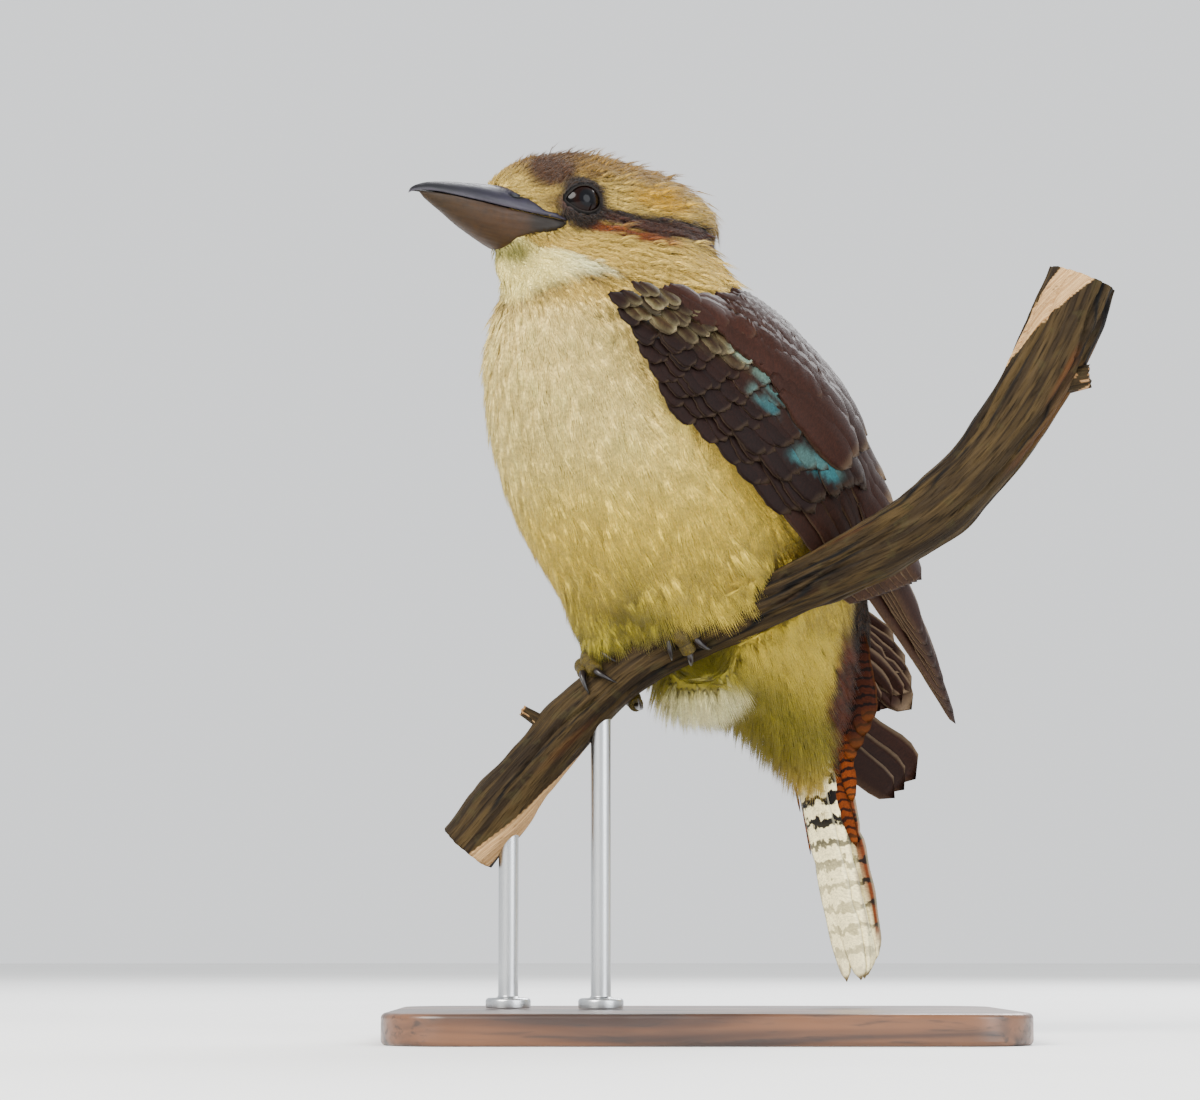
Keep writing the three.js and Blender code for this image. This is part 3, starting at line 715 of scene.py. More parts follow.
@dataclass(frozen=True)
class PlumageFinish:
    """Feathers. Their colours come with the mesh, as Plumage, and their marks, as Marks: red for
    bars, green for a pale rim, blue for a number of each feather's own."""

    name: str
    bar_colour: Colour = paint(112, 78, 42)
    rim_colour: Colour = paint(205, 188, 150)
    spacing: float = 2.6  # millimetres from bar to bar
    bar_width: float = 0.5
    wobble: float = 0.5
    barb: float = 1.0  # strength of the fine lines of the barbs
    roughness: float = 0.72
    sheen: float = 0.08
    specular: float = 0.2
    on_skin: bool = False

    def make(self) -> Material:
        """Builds the material.

        Returns:
            The material.
        """
        made, w = new_material(self.name)
        colour = w.node("Attribute", attribute_name="Plumage").outputs["Color"]
        place_of = w.place()
        mottled = w.mottle(place_of, colour, 900.0, 0.22)
        if self.on_skin:
            bump = w.bump(w.noise(place_of, 900.0, 4.0), 0.5, 0.0006)
            w.surface(base_color=mottled, roughness=0.85, normal=bump)
            return made
        marks = w.node("Attribute", attribute_name="Marks")
        mark = w.node("SeparateColor", {0: marks.outputs["Color"]})
        vane = w.node("UVMap", uv_map="Vane").outputs[0]
        part = w.node("SeparateXYZ", {0: vane})
        lean = w.maths("ABSOLUTE", w.maths("SUBTRACT", part.outputs[1], 0.5))
        own = w.maths("MULTIPLY", mark.outputs[2], 40.0)
        slant = w.maths("SUBTRACT", part.outputs[0], w.maths("MULTIPLY", lean, 0.05))
        lines = w.node(
            "CombineXYZ",
            {0: w.maths("MULTIPLY", slant, 160.0), 1: w.maths("MULTIPLY", part.outputs[1], 5.0), 2: own},
        ).outputs[0]
        barbs = w.noise(lines, 1.6, 2.0)
        shade = w.stretch(barbs, 0.3, 0.7, 1.0 - 0.2 * self.barb, 1.0 + 0.16 * self.barb)
        streaked = w.node("HueSaturation", {"Value": shade, "Color": mottled}).outputs[0]
        bars = w.node(
            "GROUP Feather bars",
            {
                "Vane": vane, "Vector": place_of, "Spacing": self.spacing, "Width": self.bar_width,
                "Wobble": self.wobble
            },
        ).outputs[0]
        barred = w.blend(w.maths("MULTIPLY", bars, mark.outputs[0]), streaked, self.bar_colour)
        rim = w.maths("MULTIPLY", w.stretch(lean, 0.42, 0.49), mark.outputs[1])
        tip = w.maths("MULTIPLY", w.stretch(marks.outputs["Alpha"], 0.86, 0.97), mark.outputs[1])
        rimmed = w.blend(w.maths("MAXIMUM", rim, tip), barred, self.rim_colour)
        bump = w.bump(barbs, 0.35 * self.barb, 0.0003)
        w.surface(
            base_color=rimmed, roughness=self.roughness, normal=bump,
            sheen_weight=self.sheen, sheen_roughness=0.5, specular_ior_level=self.specular,
        )
        return made


@dataclass(frozen=True)
class HornFinish:
    """The keratin of a bill half or a claw: two colours that run lengthwise, faint growth lines
    and scratches, and a worn edge."""

    name: str
    colour: Colour
    tip_colour: Colour
    edge_colour: Colour
    shade_colour: Colour
    roughness: float = 0.42
    coat: float = 0.25

    def make(self) -> Material:
        """Builds the material. Wear comes with the mesh: red to the tip, green at the edge, blue in shade.

        Returns:
            The material.
        """
        made, w = new_material(self.name)
        wear = w.parts("Wear")
        streaks = w.grain(14.0, 9.0)
        base = w.blend(wear[0], self.colour, self.tip_colour)
        base = w.blend(
            w.maths("MULTIPLY", wear[1], w.stretch(streaks["Fine"], 0.25, 0.75)), base, self.edge_colour
        )
        lined = w.blend(w.stretch(streaks["Broad"], 0.42, 0.7, 0.0, 0.45), base, self.edge_colour)
        lined = w.blend(wear[2], lined, self.shade_colour)
        mottled = w.mottle(w.place(), lined, 420.0, 0.3)
        rough = w.stretch(streaks["Fine"], 0.2, 0.8, self.roughness - 0.08, self.roughness + 0.16)
        bump = w.bump(streaks["Height"], 0.25, 0.0004)
        w.surface(
            base_color=mottled, roughness=rough, normal=bump, specular_ior_level=0.3, coat_weight=self.coat,
            coat_roughness=0.25
        )
        return made


@dataclass(frozen=True)
class ScuteFinish:
    """Bare scaly skin of toes and lids, darker in the joints, which come with the mesh as Wear."""

    name: str
    colour: Colour
    joint_colour: Colour
    roughness: float = 0.55

    def make(self) -> Material:
        """Builds the material.

        Returns:
            The material.
        """
        made, w = new_material(self.name)
        place_of = w.place()
        wear = w.parts("Wear")
        cells = w.node(
            "TexVoronoi", {"Vector": place_of, "Scale": 1400.0}, feature="DISTANCE_TO_EDGE"
        ).outputs[0]
        seams = w.stretch(cells, 0.0, 0.16, 0.75, 0.0)
        dark = w.maths("MAXIMUM", wear[0], seams)
        base = w.blend(dark, w.mottle(place_of, self.colour, 500.0, 0.35), self.joint_colour)
        bump = w.bump(w.stretch(cells, 0.0, 0.3), 0.5, 0.0004)
        w.surface(
            base_color=base, roughness=self.roughness, normal=bump, specular_ior_level=0.2, coat_weight=0.03,
            coat_roughness=0.3
        )
        return made


@dataclass(frozen=True)
class EyeFinish:
    """The wet, very dark eye. Iris comes with the mesh: red in the iris's ring, green in the pupil."""

    iris: Colour = paint(22, 10, 5)
    ring: Colour = paint(8, 4, 3)

    def make(self) -> Material:
        """Builds the material.

        Returns:
            The material.
        """
        made, w = new_material("wet eye")
        place_of = w.place()
        part = w.parts("Iris")
        fibres = w.stretch(w.noise(place_of, 1800.0, 3.0), 0.3, 0.7, 0.6, 1.3)
        iris = w.node("HueSaturation", {"Value": fibres, "Color": self.iris}).outputs[0]
        base = w.blend(part[0], self.ring, iris)
        base = w.blend(part[1], base, (0.002, 0.002, 0.003))
        w.surface(
            base_color=base, roughness=w.stretch(fibres, 0.6, 1.3, 0.12, 0.2), specular_ior_level=0.05,
            coat_weight=0.15, coat_roughness=0.03
        )
        return made


@dataclass(frozen=True)
class BarkFinish:
    """Weathered branch: grey-brown grain along it, dark cracks, and bare orange wood where the
    bark is gone. Cracks come with the mesh as Wear: red in cracks, green on bare wood, blue on
    a sawn end."""

    bark: Colour = paint(33, 25, 14)
    pale: Colour = paint(60, 48, 28)
    dark: Colour = paint(10, 7, 4)
    bare: Colour = paint(104, 50, 16)
    sawn: Colour = paint(196, 160, 112)

    def make(self) -> Material:
        """Builds the material.

        Returns:
            The material.
        """
        made, w = new_material("weathered bark")
        wear = w.parts("Wear")
        grain = w.grain(26.0, 12.0)
        base = w.blend(w.stretch(grain["Broad"], 0.35, 0.68), self.bark, self.pale)
        base = w.blend(w.stretch(grain["Fine"], 0.5, 0.72, 0.0, 0.75), base, self.dark)
        lichen = w.stretch(w.noise(w.place(), 160.0, 5.0), 0.56, 0.66, 0.0, 0.3)
        base = w.blend(lichen, base, paint(54, 50, 30))
        bare = w.blend(w.stretch(grain["Fine"], 0.35, 0.7), self.bare, paint(112, 64, 30))
        base = w.blend(wear[1], base, bare)
        base = w.blend(
            wear[2], base, w.blend(w.stretch(grain["Fine"], 0.4, 0.65), self.sawn, paint(138, 100, 62))
        )
        base = w.blend(wear[0], base, paint(10, 7, 5))
        bump = w.bump(grain["Height"], 0.7, 0.0012)
        rough = w.stretch(grain["Fine"], 0.3, 0.7, 0.7, 0.92)
        w.surface(base_color=base, roughness=rough, normal=bump, specular_ior_level=0.15)
        return made


@dataclass(frozen=True)
class StandWoodFinish:
    """Dark oiled wood of the stand's base, with its grain along X and a faint mottle."""

    light: Colour = paint(96, 62, 38)
    dark: Colour = paint(44, 26, 16)

    def make(self) -> Material:
        """Builds the material.

        Returns:
            The material.
        """
        made, w = new_material("oiled dark wood")
        place_of = w.place()
        grain = w.grain(70.0, 11.0, place_of)
        base = w.blend(w.stretch(grain["Broad"], 0.35, 0.65), self.dark, self.light)
        base = w.blend(w.stretch(grain["Fine"], 0.52, 0.7, 0.0, 0.7), base, paint(26, 15, 9))
        worn = w.mottle(place_of, base, 30.0, 0.15)
        bump = w.bump(grain["Fine"], 0.12, 0.0004)
        rough = w.stretch(grain["Fine"], 0.3, 0.7, 0.32, 0.5)
        w.surface(base_color=worn, roughness=rough, normal=bump, coat_weight=0.3, coat_roughness=0.2)
        return made


@dataclass(frozen=True)
class SteelFinish:
    """Brushed steel of the rods."""

    colour: Colour = paint(178, 180, 182)

    def make(self) -> Material:
        """Builds the material.

        Returns:
            The material.
        """
        made, w = new_material("brushed steel")
        place_of = w.place()
        lines = w.grain(500.0, 0.05, place_of)
        base = w.mottle(place_of, self.colour, 40.0, 0.05)
        rough = w.stretch(lines["Fine"], 0.3, 0.7, 0.22, 0.36)
        w.surface(base_color=base, roughness=rough, metallic=1.0, normal=w.bump(lines["Fine"], 0.06, 0.0002))
        return made


# ---- markings


class Markings:
    """Where each colour of the small feathers lies, the same on skin and coat and on both sides.

    Places are in the head's frame (x to the bill, y to the left, z up) and in the bird's.
    """

    white = np.array(paint(255, 246, 186))
    throat = np.array(paint(246, 228, 140))
    breast = np.array(paint(254, 216, 104))
    belly = np.array(paint(240, 208, 78))
    # olive of the vent, darkened as painted shade below the branch
    vent_in_shade = np.array(paint(112, 106, 8))
    buff = np.array(paint(188, 158, 76))
    crown = np.array(paint(134, 102, 44))
    brown = np.array(paint(56, 26, 5))
    mask = np.array(paint(26, 15, 6))
    orange = np.array(paint(122, 60, 0))
    ochre = np.array(paint(184, 138, 0))
    # greenish painted shadow under the bill, laid on the chin
    painted_chin_shadow = np.array(paint(96, 94, 4))
    mantle = np.array(paint(40, 23, 18))
    # dark brown of the rump, darkened further as painted shade under the folded wings
    rump = np.array(paint(22, 10, 9))
    rufous = np.array(paint(96, 42, 8))
    eye_at = np.array([29.7, 16.8, -1.5])
    eye_faces = unit(np.array([0.24, 0.97, 0.05]))

    @classmethod
    def sides(cls, points: Points) -> tuple[Points, Points]:
        """Gives places in the head's and in the bird's frame, folded to the left side.

        Args:
            points: Places in the scene, in millimetres.

        Returns:
            The places in each frame.
        """
        head, bird = place_back(HEAD, points), place_back(BIRD, points)
        head[:, 1], bird[:, 1] = abs(head[:, 1]), abs(bird[:, 1])
        return head, bird

    @classmethod
    def on_head(cls, points: Points) -> Points:
        """Gives how far each place belongs to the head, 0 to 1."""
        head, _ = cls.sides(points)
        return ease(-47, -36, head[:, 2] + 0.12 * head[:, 0])

    @classmethod
    def eye_distance(cls, points: Points) -> Points:
        """Gives the distance from the middle of the nearer eye, across its line of sight.

        Args:
            points: Places in the scene, in millimetres.

        Returns:
            A distance for each.
        """
        head, _ = cls.sides(points)
        offset = head - (cls.eye_at + cls.eye_faces * 6.0)
        return np.linalg.norm(offset - (offset @ cls.eye_faces)[:, None] * cls.eye_faces, axis=1) + np.maximum(
            0, -(offset @ cls.eye_faces) - 9
        )

    @classmethod
    def dorsal(cls, points: Points) -> Points:
        """Gives the height towards the back on the trunk: 1 at the middle of the back, -1 at the breast.

        Args:
            points: Places in the scene, in millimetres.

        Returns:
            A height for each.
        """
        _, bird = cls.sides(points)
        middle, _, up, _ = (part[trunk_share(bird)] for part in TRUNK_AXES)
        offset = unit(bird - middle)
        return np.sum(offset * up, axis=1)

    @classmethod
    def colours(cls, points: Points) -> tuple[Points, Points]:
        """Paints places on the skin.

        Args:
            points: Places in the scene, in millimetres.

        Returns:
            A colour for each place, and the strength of the bars there.
        """
        head, bird = cls.sides(points)
        x, y, z = head.T
        f, l, u = bird.T
        rough = drift(points, 9, 3) * 0.6 + drift(points, 4, 5) * 0.4
        dorsal = cls.dorsal(points) + 0.08 * rough

        tone = mix(np.tile(cls.belly, (len(points), 1)), cls.breast, ease(40, 120, u + 8 * rough))
        # painted light: the front of the breast paler, where light falls on it from the side
        tone = mix(tone, cls.white * 0.95, ease(0.35, 0.9, -dorsal) * ease(30, 80, u) * 0.4)
        # painted shade: the darkened vent olive, strongest low on the belly and near the middle, below the branch
        tone = mix(tone, cls.vent_in_shade, ease(48, 0, u + 0.3 * f + 10 * rough) * (0.85 - 0.5 * ease(16, 30, l)))
        tone = mix(tone, cls.breast * 0.8, ease(-44, -60, u + 6 * rough) * 0.7)
        tone = mix(tone, cls.white, ease(-23, -28, u + 3 * rough) * ease(-40, -34, f + 2 * rough))
        tone = mix(tone, cls.mantle, ease(0.18, 0.5, dorsal) * ease(132, 118, u + 5 * rough))
        behind = np.interp(u, (-60, -42, -28, -5), (-86, -80, -70, -68)) - f
        tone = mix(tone, cls.rufous, ease(-1, 2, behind + rough) * ease(6, -4, u))
        stripe = ease(0.1, 0.5, np.sin(math.tau * (u + 0.35 * f) / 7.5 + 1.5 * rough))
        tone = mix(tone, cls.mask, ease(-1, 2, behind) * ease(6, -4, u) * stripe)
        # painted shade: the rump, in the shade of the folded wings, in the darkened rump colour
        tone = mix(tone, cls.rump, ease(0.05, 0.4, dorsal) * ease(34, 8, u) * ease(-40, -15, u))
        tone = mix(tone, cls.buff, ease(112, 132, u + 5 * rough) * ease(-0.35, 0.25, dorsal))
        bars = 0.22 + 0.2 * ease(-0.5, 0.1, dorsal) - 0.2 * ease(20, 0, u)

        on_head = cls.on_head(points)
        face = np.tile(cls.buff, (len(points), 1))
        face = mix(face, cls.crown, ease(4, 15, z + 2 * rough))
        streaks = ease(0.0, 0.7, drift(points, 2.4, 8) + 0.2 * rough)
        face = mix(face, cls.brown, streaks * 0.6 * ease(0, 9, z) * ease(-46, -24, x))
        patch = np.sqrt(((x - 41) / 10) ** 2 + ((y - 13) / 9) ** 2 + ((z - 10.5) / 8) ** 2)
        face = mix(face, cls.brown + 0.08 * (cls.crown - cls.brown), ease(1.4, 0.85, patch + 0.25 * rough))
        top = np.sqrt(((x - 32) / 18) ** 2 + (y / 12) ** 2)
        face = mix(face, cls.brown, ease(1.3, 0.7, top + 0.3 * rough) * ease(12, 18, z) * 0.75)
        glow = np.sqrt(((x + 4) / 17) ** 2 + ((z - 4) / 6) ** 2)
        face = mix(face, cls.ochre, ease(1.3, 0.4, glow + 0.25 * rough) * ease(14, 22, y))
        face = mix(face, cls.crown, ease(-16, -36, x + 3 * rough) * 0.5)
        face = mix(face, cls.buff * 1.3, ease(-15, -19, z + rough) * ease(50, 36, x))
        upper = np.interp(x, (-45, -21, 7, 23, 30), (-1.5, -1.2, -3.4, -2.6, -1.5))
        lower = np.interp(x, (-45, -19, 1, 19, 33), (-11, -11.6, -12.9, -8.4, -7.2))
        band = (
            ease(0.7, -0.7, z - upper + 0.6 * rough)
            * ease(-0.9, 0.9, z - lower + 0.8 * rough)
            * ease(40, 34, x)
        )
        low = np.interp(x, (-10, -2, 10, 23, 33), (-14.2, -14.2, -13.6, -10.6, -8.8))
        flame = ease(1.25, 0.6, abs(z - low + 0.5 * rough) / 2.5) * ease(36, 32, x) * ease(-10, 0, x)
        face = mix(face, cls.orange, flame)
        face = mix(face, cls.mask, flame * ease(0.35, 0.8, drift(points, 1.6, 12)) * 0.8)
        face = mix(face, cls.brown * (1.0 + 0.3 * rough)[:, None], band)
        edge = bell(z - upper + 1.0 + 0.4 * rough, 1.1) * ease(32, 26, x) * ease(-40, -30, x)
        face = mix(face, cls.mask * 0.5, np.clip(edge, 0, 1))
        distance = cls.eye_distance(points)
        face = mix(face, cls.mask, ease(12, 9.0, distance + rough) * ease(8, 12, y))
        lore = np.sqrt(((x - 40) / 5) ** 2 + ((z + 3) / 3.0) ** 2)
        face = mix(face, cls.brown, ease(1.3, 0.6, lore + 0.2 * rough) * 0.6)
        over_throat = np.interp(x, (20, 25.4, 31, 38, 49, 60), (-30, -29.2, -25.4, -21.2, -18.6, -18))
        under_throat = np.interp(x, (20, 25, 35, 45, 48, 54.5, 60), (-31, -31.8, -33, -38, -40, -46, -50))
        inside = (
            ease(0.5, -0.5, z - over_throat + 0.4 * rough)
            * ease(-0.8, 0.8, z - under_throat + 0.9 * rough)
        )
        throat = inside * ease(21, 25, x)
        face = mix(face, cls.throat + (cls.white - cls.throat) * ease(44, 30, x)[:, None], throat)
        # painted shadow: greenish shade under the bill, on the chin
        chin = ease(1.2, 0.4, np.sqrt(((x - 51) / 8) ** 2 + ((z + 23.5) / 6) ** 2 + (y / 16) ** 2))
        face = mix(face, cls.painted_chin_shadow, chin * 0.8)
        # painted shade: a darker ochre line in the crease along the throat's upper edge
        cut = bell(z - over_throat, 0.8) * ease(24, 27, x) * ease(44, 38, x)
        face = mix(face, cls.ochre * 0.7, cut * 0.6)
        tone = mix(tone, face, np.maximum(on_head, throat))
        # painted shade: broken brown strokes in the crease along the throat's lower edge
        throat_crease_shade = bell(z - under_throat + 1.2, 2.0) * ease(16, 22, x) * ease(58, 50, x) * ease(60, 50, y)
        tone = mix(tone, cls.brown, np.clip(throat_crease_shade, 0, 1) * ease(-0.35, 0.25, drift(points, 1.9, 17)) * 0.9)
        bars = bars * (1 - np.maximum(on_head, throat)) + 0.12 * on_head * (1 - throat)
        return np.clip(tone * (1 + 0.1 * rough)[:, None], 0.001, 1), np.clip(bars, 0, 1)

    @staticmethod
    def past_bill_line(head: Points) -> Points:
        """Gives how far places of the head's frame lie ahead of the line where feathers meet the bare bill.

        Args:
            head: Places in the head's frame.

        Returns:
            A distance for each, below 0 behind the line.
        """
        line = np.interp(
            head[:, 2],
            (-24, -19.8, -17.4, -14.4, -9.7, -7.9, -7, -4, -1.5, 2),
            (57, 55.2, 50.2, 40.7, 33.7, 39.9, 46.9, 51.6, 57.2, 60),
        )
        return head[:, 0] - line


# ---- skin


@dataclass
class Skin:
    """One skin over the bird's flesh, inside the solids by the depth of the coat."""

    nodes: tuple[str, ...] = ("head", "neck", "torso", "rump", "thigh_left", "thigh_right")
    # filled, and cut off ahead
    sockets: tuple[str, ...] = ("eye_left", "eye_right", "bill_upper", "bill_lower")
    bill_end: float = 61.0
    chin: tuple[float, ...] = (49.0, 0.0, -29.0, 8.0, 7.0, 10.0)  # middle and half sizes in the head's frame
    voxel: float = 1.8
    smoothing: int = 5
    body_depth: float = 3.0
    head_depth: float = 1.5
    face_depth: float = 0.9
    bare_depth: float = 2.2
    piece: Object = None
    corners: Points = None
    normals: Points = None
    triangles: Points = None
    tree: BVHTree = None

    def depth(self, points: Points) -> Points:
        """Gives the depth of the coat over places on the solids, in millimetres.

        Args:
            points: Places in the scene, in millimetres.

        Returns:
            A depth for each.
        """
        head, _ = Markings.sides(points)
        on_head = Markings.on_head(points)
        face = np.maximum(ease(26, 44, head[:, 0]), ease(16, 9, Markings.eye_distance(points))) * on_head
        deep = self.body_depth + (self.head_depth - self.body_depth) * on_head
        deep = deep + (self.face_depth - self.head_depth) * face
        bare = ease(-1.0, 1.5, Markings.past_bill_line(head)) * (head[:, 2] > -24) * on_head
        return deep + (self.bare_depth - deep) * bare

    def flesh(self) -> BMesh:
        """Gathers the flesh, the filled sockets and the chin, and melts them into one shape.

        Returns:
            The melted shape, in metres.
        """
        shape = bmesh.new()
        for name in self.sockets:
            shape.from_mesh(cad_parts[name].data)
        bmesh.ops.remove_doubles(shape, verts=shape.verts[:], dist=WELD)
        ahead = place(HEAD, np.array([[self.bill_end, 0, 0]]))[0] * MM
        bmesh.ops.bisect_plane(
            shape, geom=shape.verts[:] + shape.edges[:] + shape.faces[:], plane_co=ahead,
            plane_no=HEAD[:3, 0], clear_outer=True,
        )
        bmesh.ops.holes_fill(shape, edges=[edge for edge in shape.edges if edge.is_boundary], sides=0)
        for name in self.nodes:
            shape.from_mesh(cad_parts[name].data)
        bmesh.ops.remove_doubles(shape, verts=shape.verts[:], dist=WELD)
        seat = HEAD @ moved(*self.chin[:3]) @ np.diag([*self.chin[3:], 1.0])
        seat[:3] *= MM
        bmesh.ops.create_icosphere(shape, subdivisions=3, radius=1.0, matrix=Matrix(seat.tolist()))
        rough = bpy.data.meshes.new("rough skin")
        shape.to_mesh(rough)
        shape.free()
        source = link_mesh("rough skin", rough)
        remesh = source.modifiers.new("melt", "REMESH")
        remesh.mode, remesh.voxel_size = "VOXEL", self.voxel * MM
        melted = bpy.data.meshes.new_from_object(source.evaluated_get(bpy.context.evaluated_depsgraph_get()))
        bpy.data.objects.remove(source)
        shape = bmesh.new()
        shape.from_mesh(melted)
        self.keep_largest(shape)
        return shape

    def build(self) -> Object:
        """Smooths the flesh without letting it shrink, and draws it in by the coat's depth.

        Returns:
            The skin.
        """
        shape = self.flesh()
        whole = BVHTree.FromBMesh(shape)
        for _ in range(self.smoothing):
            relaxed(shape, 0.5)
        shape.normal_update()
        corners = np.array([v.co[:] for v in shape.verts]) / MM
        normals = np.array([v.normal[:] for v in shape.verts])
        shrunk = np.zeros(len(corners))
        for i, vertex in enumerate(shape.verts):
            near = whole.find_nearest(vertex.co)[0]
            shrunk[i] = (near - vertex.co).dot(vertex.normal) / MM
        inner = corners + normals * (np.clip(shrunk, -3, 4) - self.depth(corners))[:, None]
        nip = 4.0 * np.exp(-(((inner[:, 0] + 84) / 9) ** 2) - (((inner[:, 2] - 292) / 10) ** 2))
        inner[:, 0] += nip
        for vertex, corner in zip(shape.verts, inner * MM):
            vertex.co = corner
        relaxed(shape, 0.4)
        mould_verts(shape.verts[:], lambda places: Eye.bedded(places / MM))
        bmesh.ops.triangulate(shape, faces=shape.faces[:])
        self.piece = finished("skin", shape)
        self.read()
        # the skin takes the plumage colours, darkened by a fifth as painted shade under the feathers
        set_colours(self.piece.data, "Plumage", Markings.colours(self.corners)[0] * 0.8)
        return self.piece

    @staticmethod
    def keep_largest(shape: BMesh) -> None:
        """Removes all but the largest connected surface.

        Args:
            shape: The bmesh.
        """
        left = set(shape.verts)
        best: set = set()
        while left:
            seed = left.pop()
            island, edge = {seed}, [seed]
            while edge:
                for link in edge.pop().link_edges:
                    for vertex in link.verts:
                        if vertex not in island:
                            island.add(vertex)
                            edge.append(vertex)
            left -= island
            best = max(best, island, key=len)
        bmesh.ops.delete(shape, geom=[v for v in shape.verts if v not in best], context="VERTS")

    def read(self) -> None:
        """Keeps the skin's corners, normals and triangles in millimetres for the coat."""
        mesh = self.piece.data
        self.corners = corners_of(self.piece)
        buffer = np.zeros(3 * len(mesh.vertices), np.float32)
        mesh.vertices.foreach_get("normal", buffer)
        self.normals = buffer.reshape(-1, 3).astype(float)
        corner = np.zeros(len(mesh.loops), np.int32)
        mesh.loops.foreach_get("vertex_index", corner)
        self.triangles = corner.reshape(-1, 3)
        self.tree = BVHTree.FromPolygons(self.corners.tolist(), self.triangles.tolist())


# ---- coat


class Growth(Enum):
    """The kinds of small feather."""

    FACE = "face"
    CROWN = "crown"
    BODY = "body"
    DOWN = "down"

    @property
    def on_head(self) -> bool:
        """Tells whether it grows on the head."""
        return self in (Growth.FACE, Growth.CROWN)


@dataclass(frozen=True)
class Quill:
    """One small feather's shape, of length 1 along X: a soft leaf and free barbs round its end."""

    barbs: int
    core: float  # length of the leaf
    width: float  # half width of the leaf
    spread: float  # half width of the fan of barbs
    barb_width: float
    cup: float = 0.02

    def build(self) -> tuple[Points, Points, Points]:
        """Makes the feather.

        Returns:
            Its corners, its triangles, and for each corner its place along and across the feather.
        """
        shape = bmesh.new()
        bmesh.ops.create_grid(shape, x_segments=2, y_segments=2, size=1.0)
        leaf = shape.verts[:]
        for vertex in leaf:
            t, side = (vertex.co.x + 1) / 2, vertex.co.y
            wide = self.width * math.sin(math.pi * min(0.14 + 0.76 * t, 1.0)) ** 0.8
            vertex.co = (t * self.core * (1 - 0.2 * side * side), side * wide, self.cup * (1 - side * side))
        under = bmesh.ops.duplicate(shape, geom=shape.faces[:] + shape.edges[:] + leaf)["geom"]
        for item in under:
            if isinstance(item, BMVert) and not item.is_boundary:
                item.co.z -= 1.4 * self.cup
        bmesh.ops.reverse_faces(shape, faces=[item for item in under if isinstance(item, BMFace)])
        for number in range(self.barbs):
            side = 2 * number / (self.barbs - 1) - 1
            jitter, wave = math.sin(7.3 * number), math.sin(4.1 * number + 1)
            start = Vector(
                (self.core * (0.9 - 0.6 * abs(side) - 0.1 * wave), side * self.width * 0.7, 0.3 * self.cup)
            )
            end = Vector(
                (1 - 0.2 * side * side + 0.08 * jitter, side * self.spread + 0.03 * wave, 0.03 * jitter + 0.01)
            )
            way = end - start
            barb = bmesh.ops.create_cone(
                shape, cap_ends=True, cap_tris=False, segments=3, radius1=self.barb_width,
                radius2=0.0, depth=way.length,
            )["verts"]
            bmesh.ops.translate(shape, verts=barb, vec=(0, 0, way.length / 2))
            bmesh.ops.scale(shape, verts=barb, vec=(0.5, 1, 1))
            turn = Vector((0, 0, 1)).rotation_difference(way.normalized()).to_matrix()
            bmesh.ops.rotate(shape, verts=barb, cent=(0, 0, 0), matrix=turn)
            bmesh.ops.translate(shape, verts=barb, vec=start)
        bmesh.ops.remove_doubles(shape, verts=shape.verts[:], dist=1e-5)
        corners, triangles = arrays_of(shape)
        vane = np.column_stack([corners[:, 0], np.clip(0.5 + corners[:, 1] / (2 * self.spread), 0, 1)])
        return corners, triangles, vane


@dataclass(frozen=True)
class Tract:
    """A tract of small feathers and how they grow there, in millimetres."""

    growth: Growth
    quill: Quill
    spacing: Callable[[Points], Points]
    length: Callable[[Points], Points]
    width: float  # of the quill's unit width, as a share of the length
    height: float  # how high the tips stand over the skin, as a share of the coat's depth
    hang: float  # how freely it hangs where the skin faces down
    region: Callable[[Points], Points]  # true where it grows
    pieces: int  # how many objects it is divided among
    seed: int


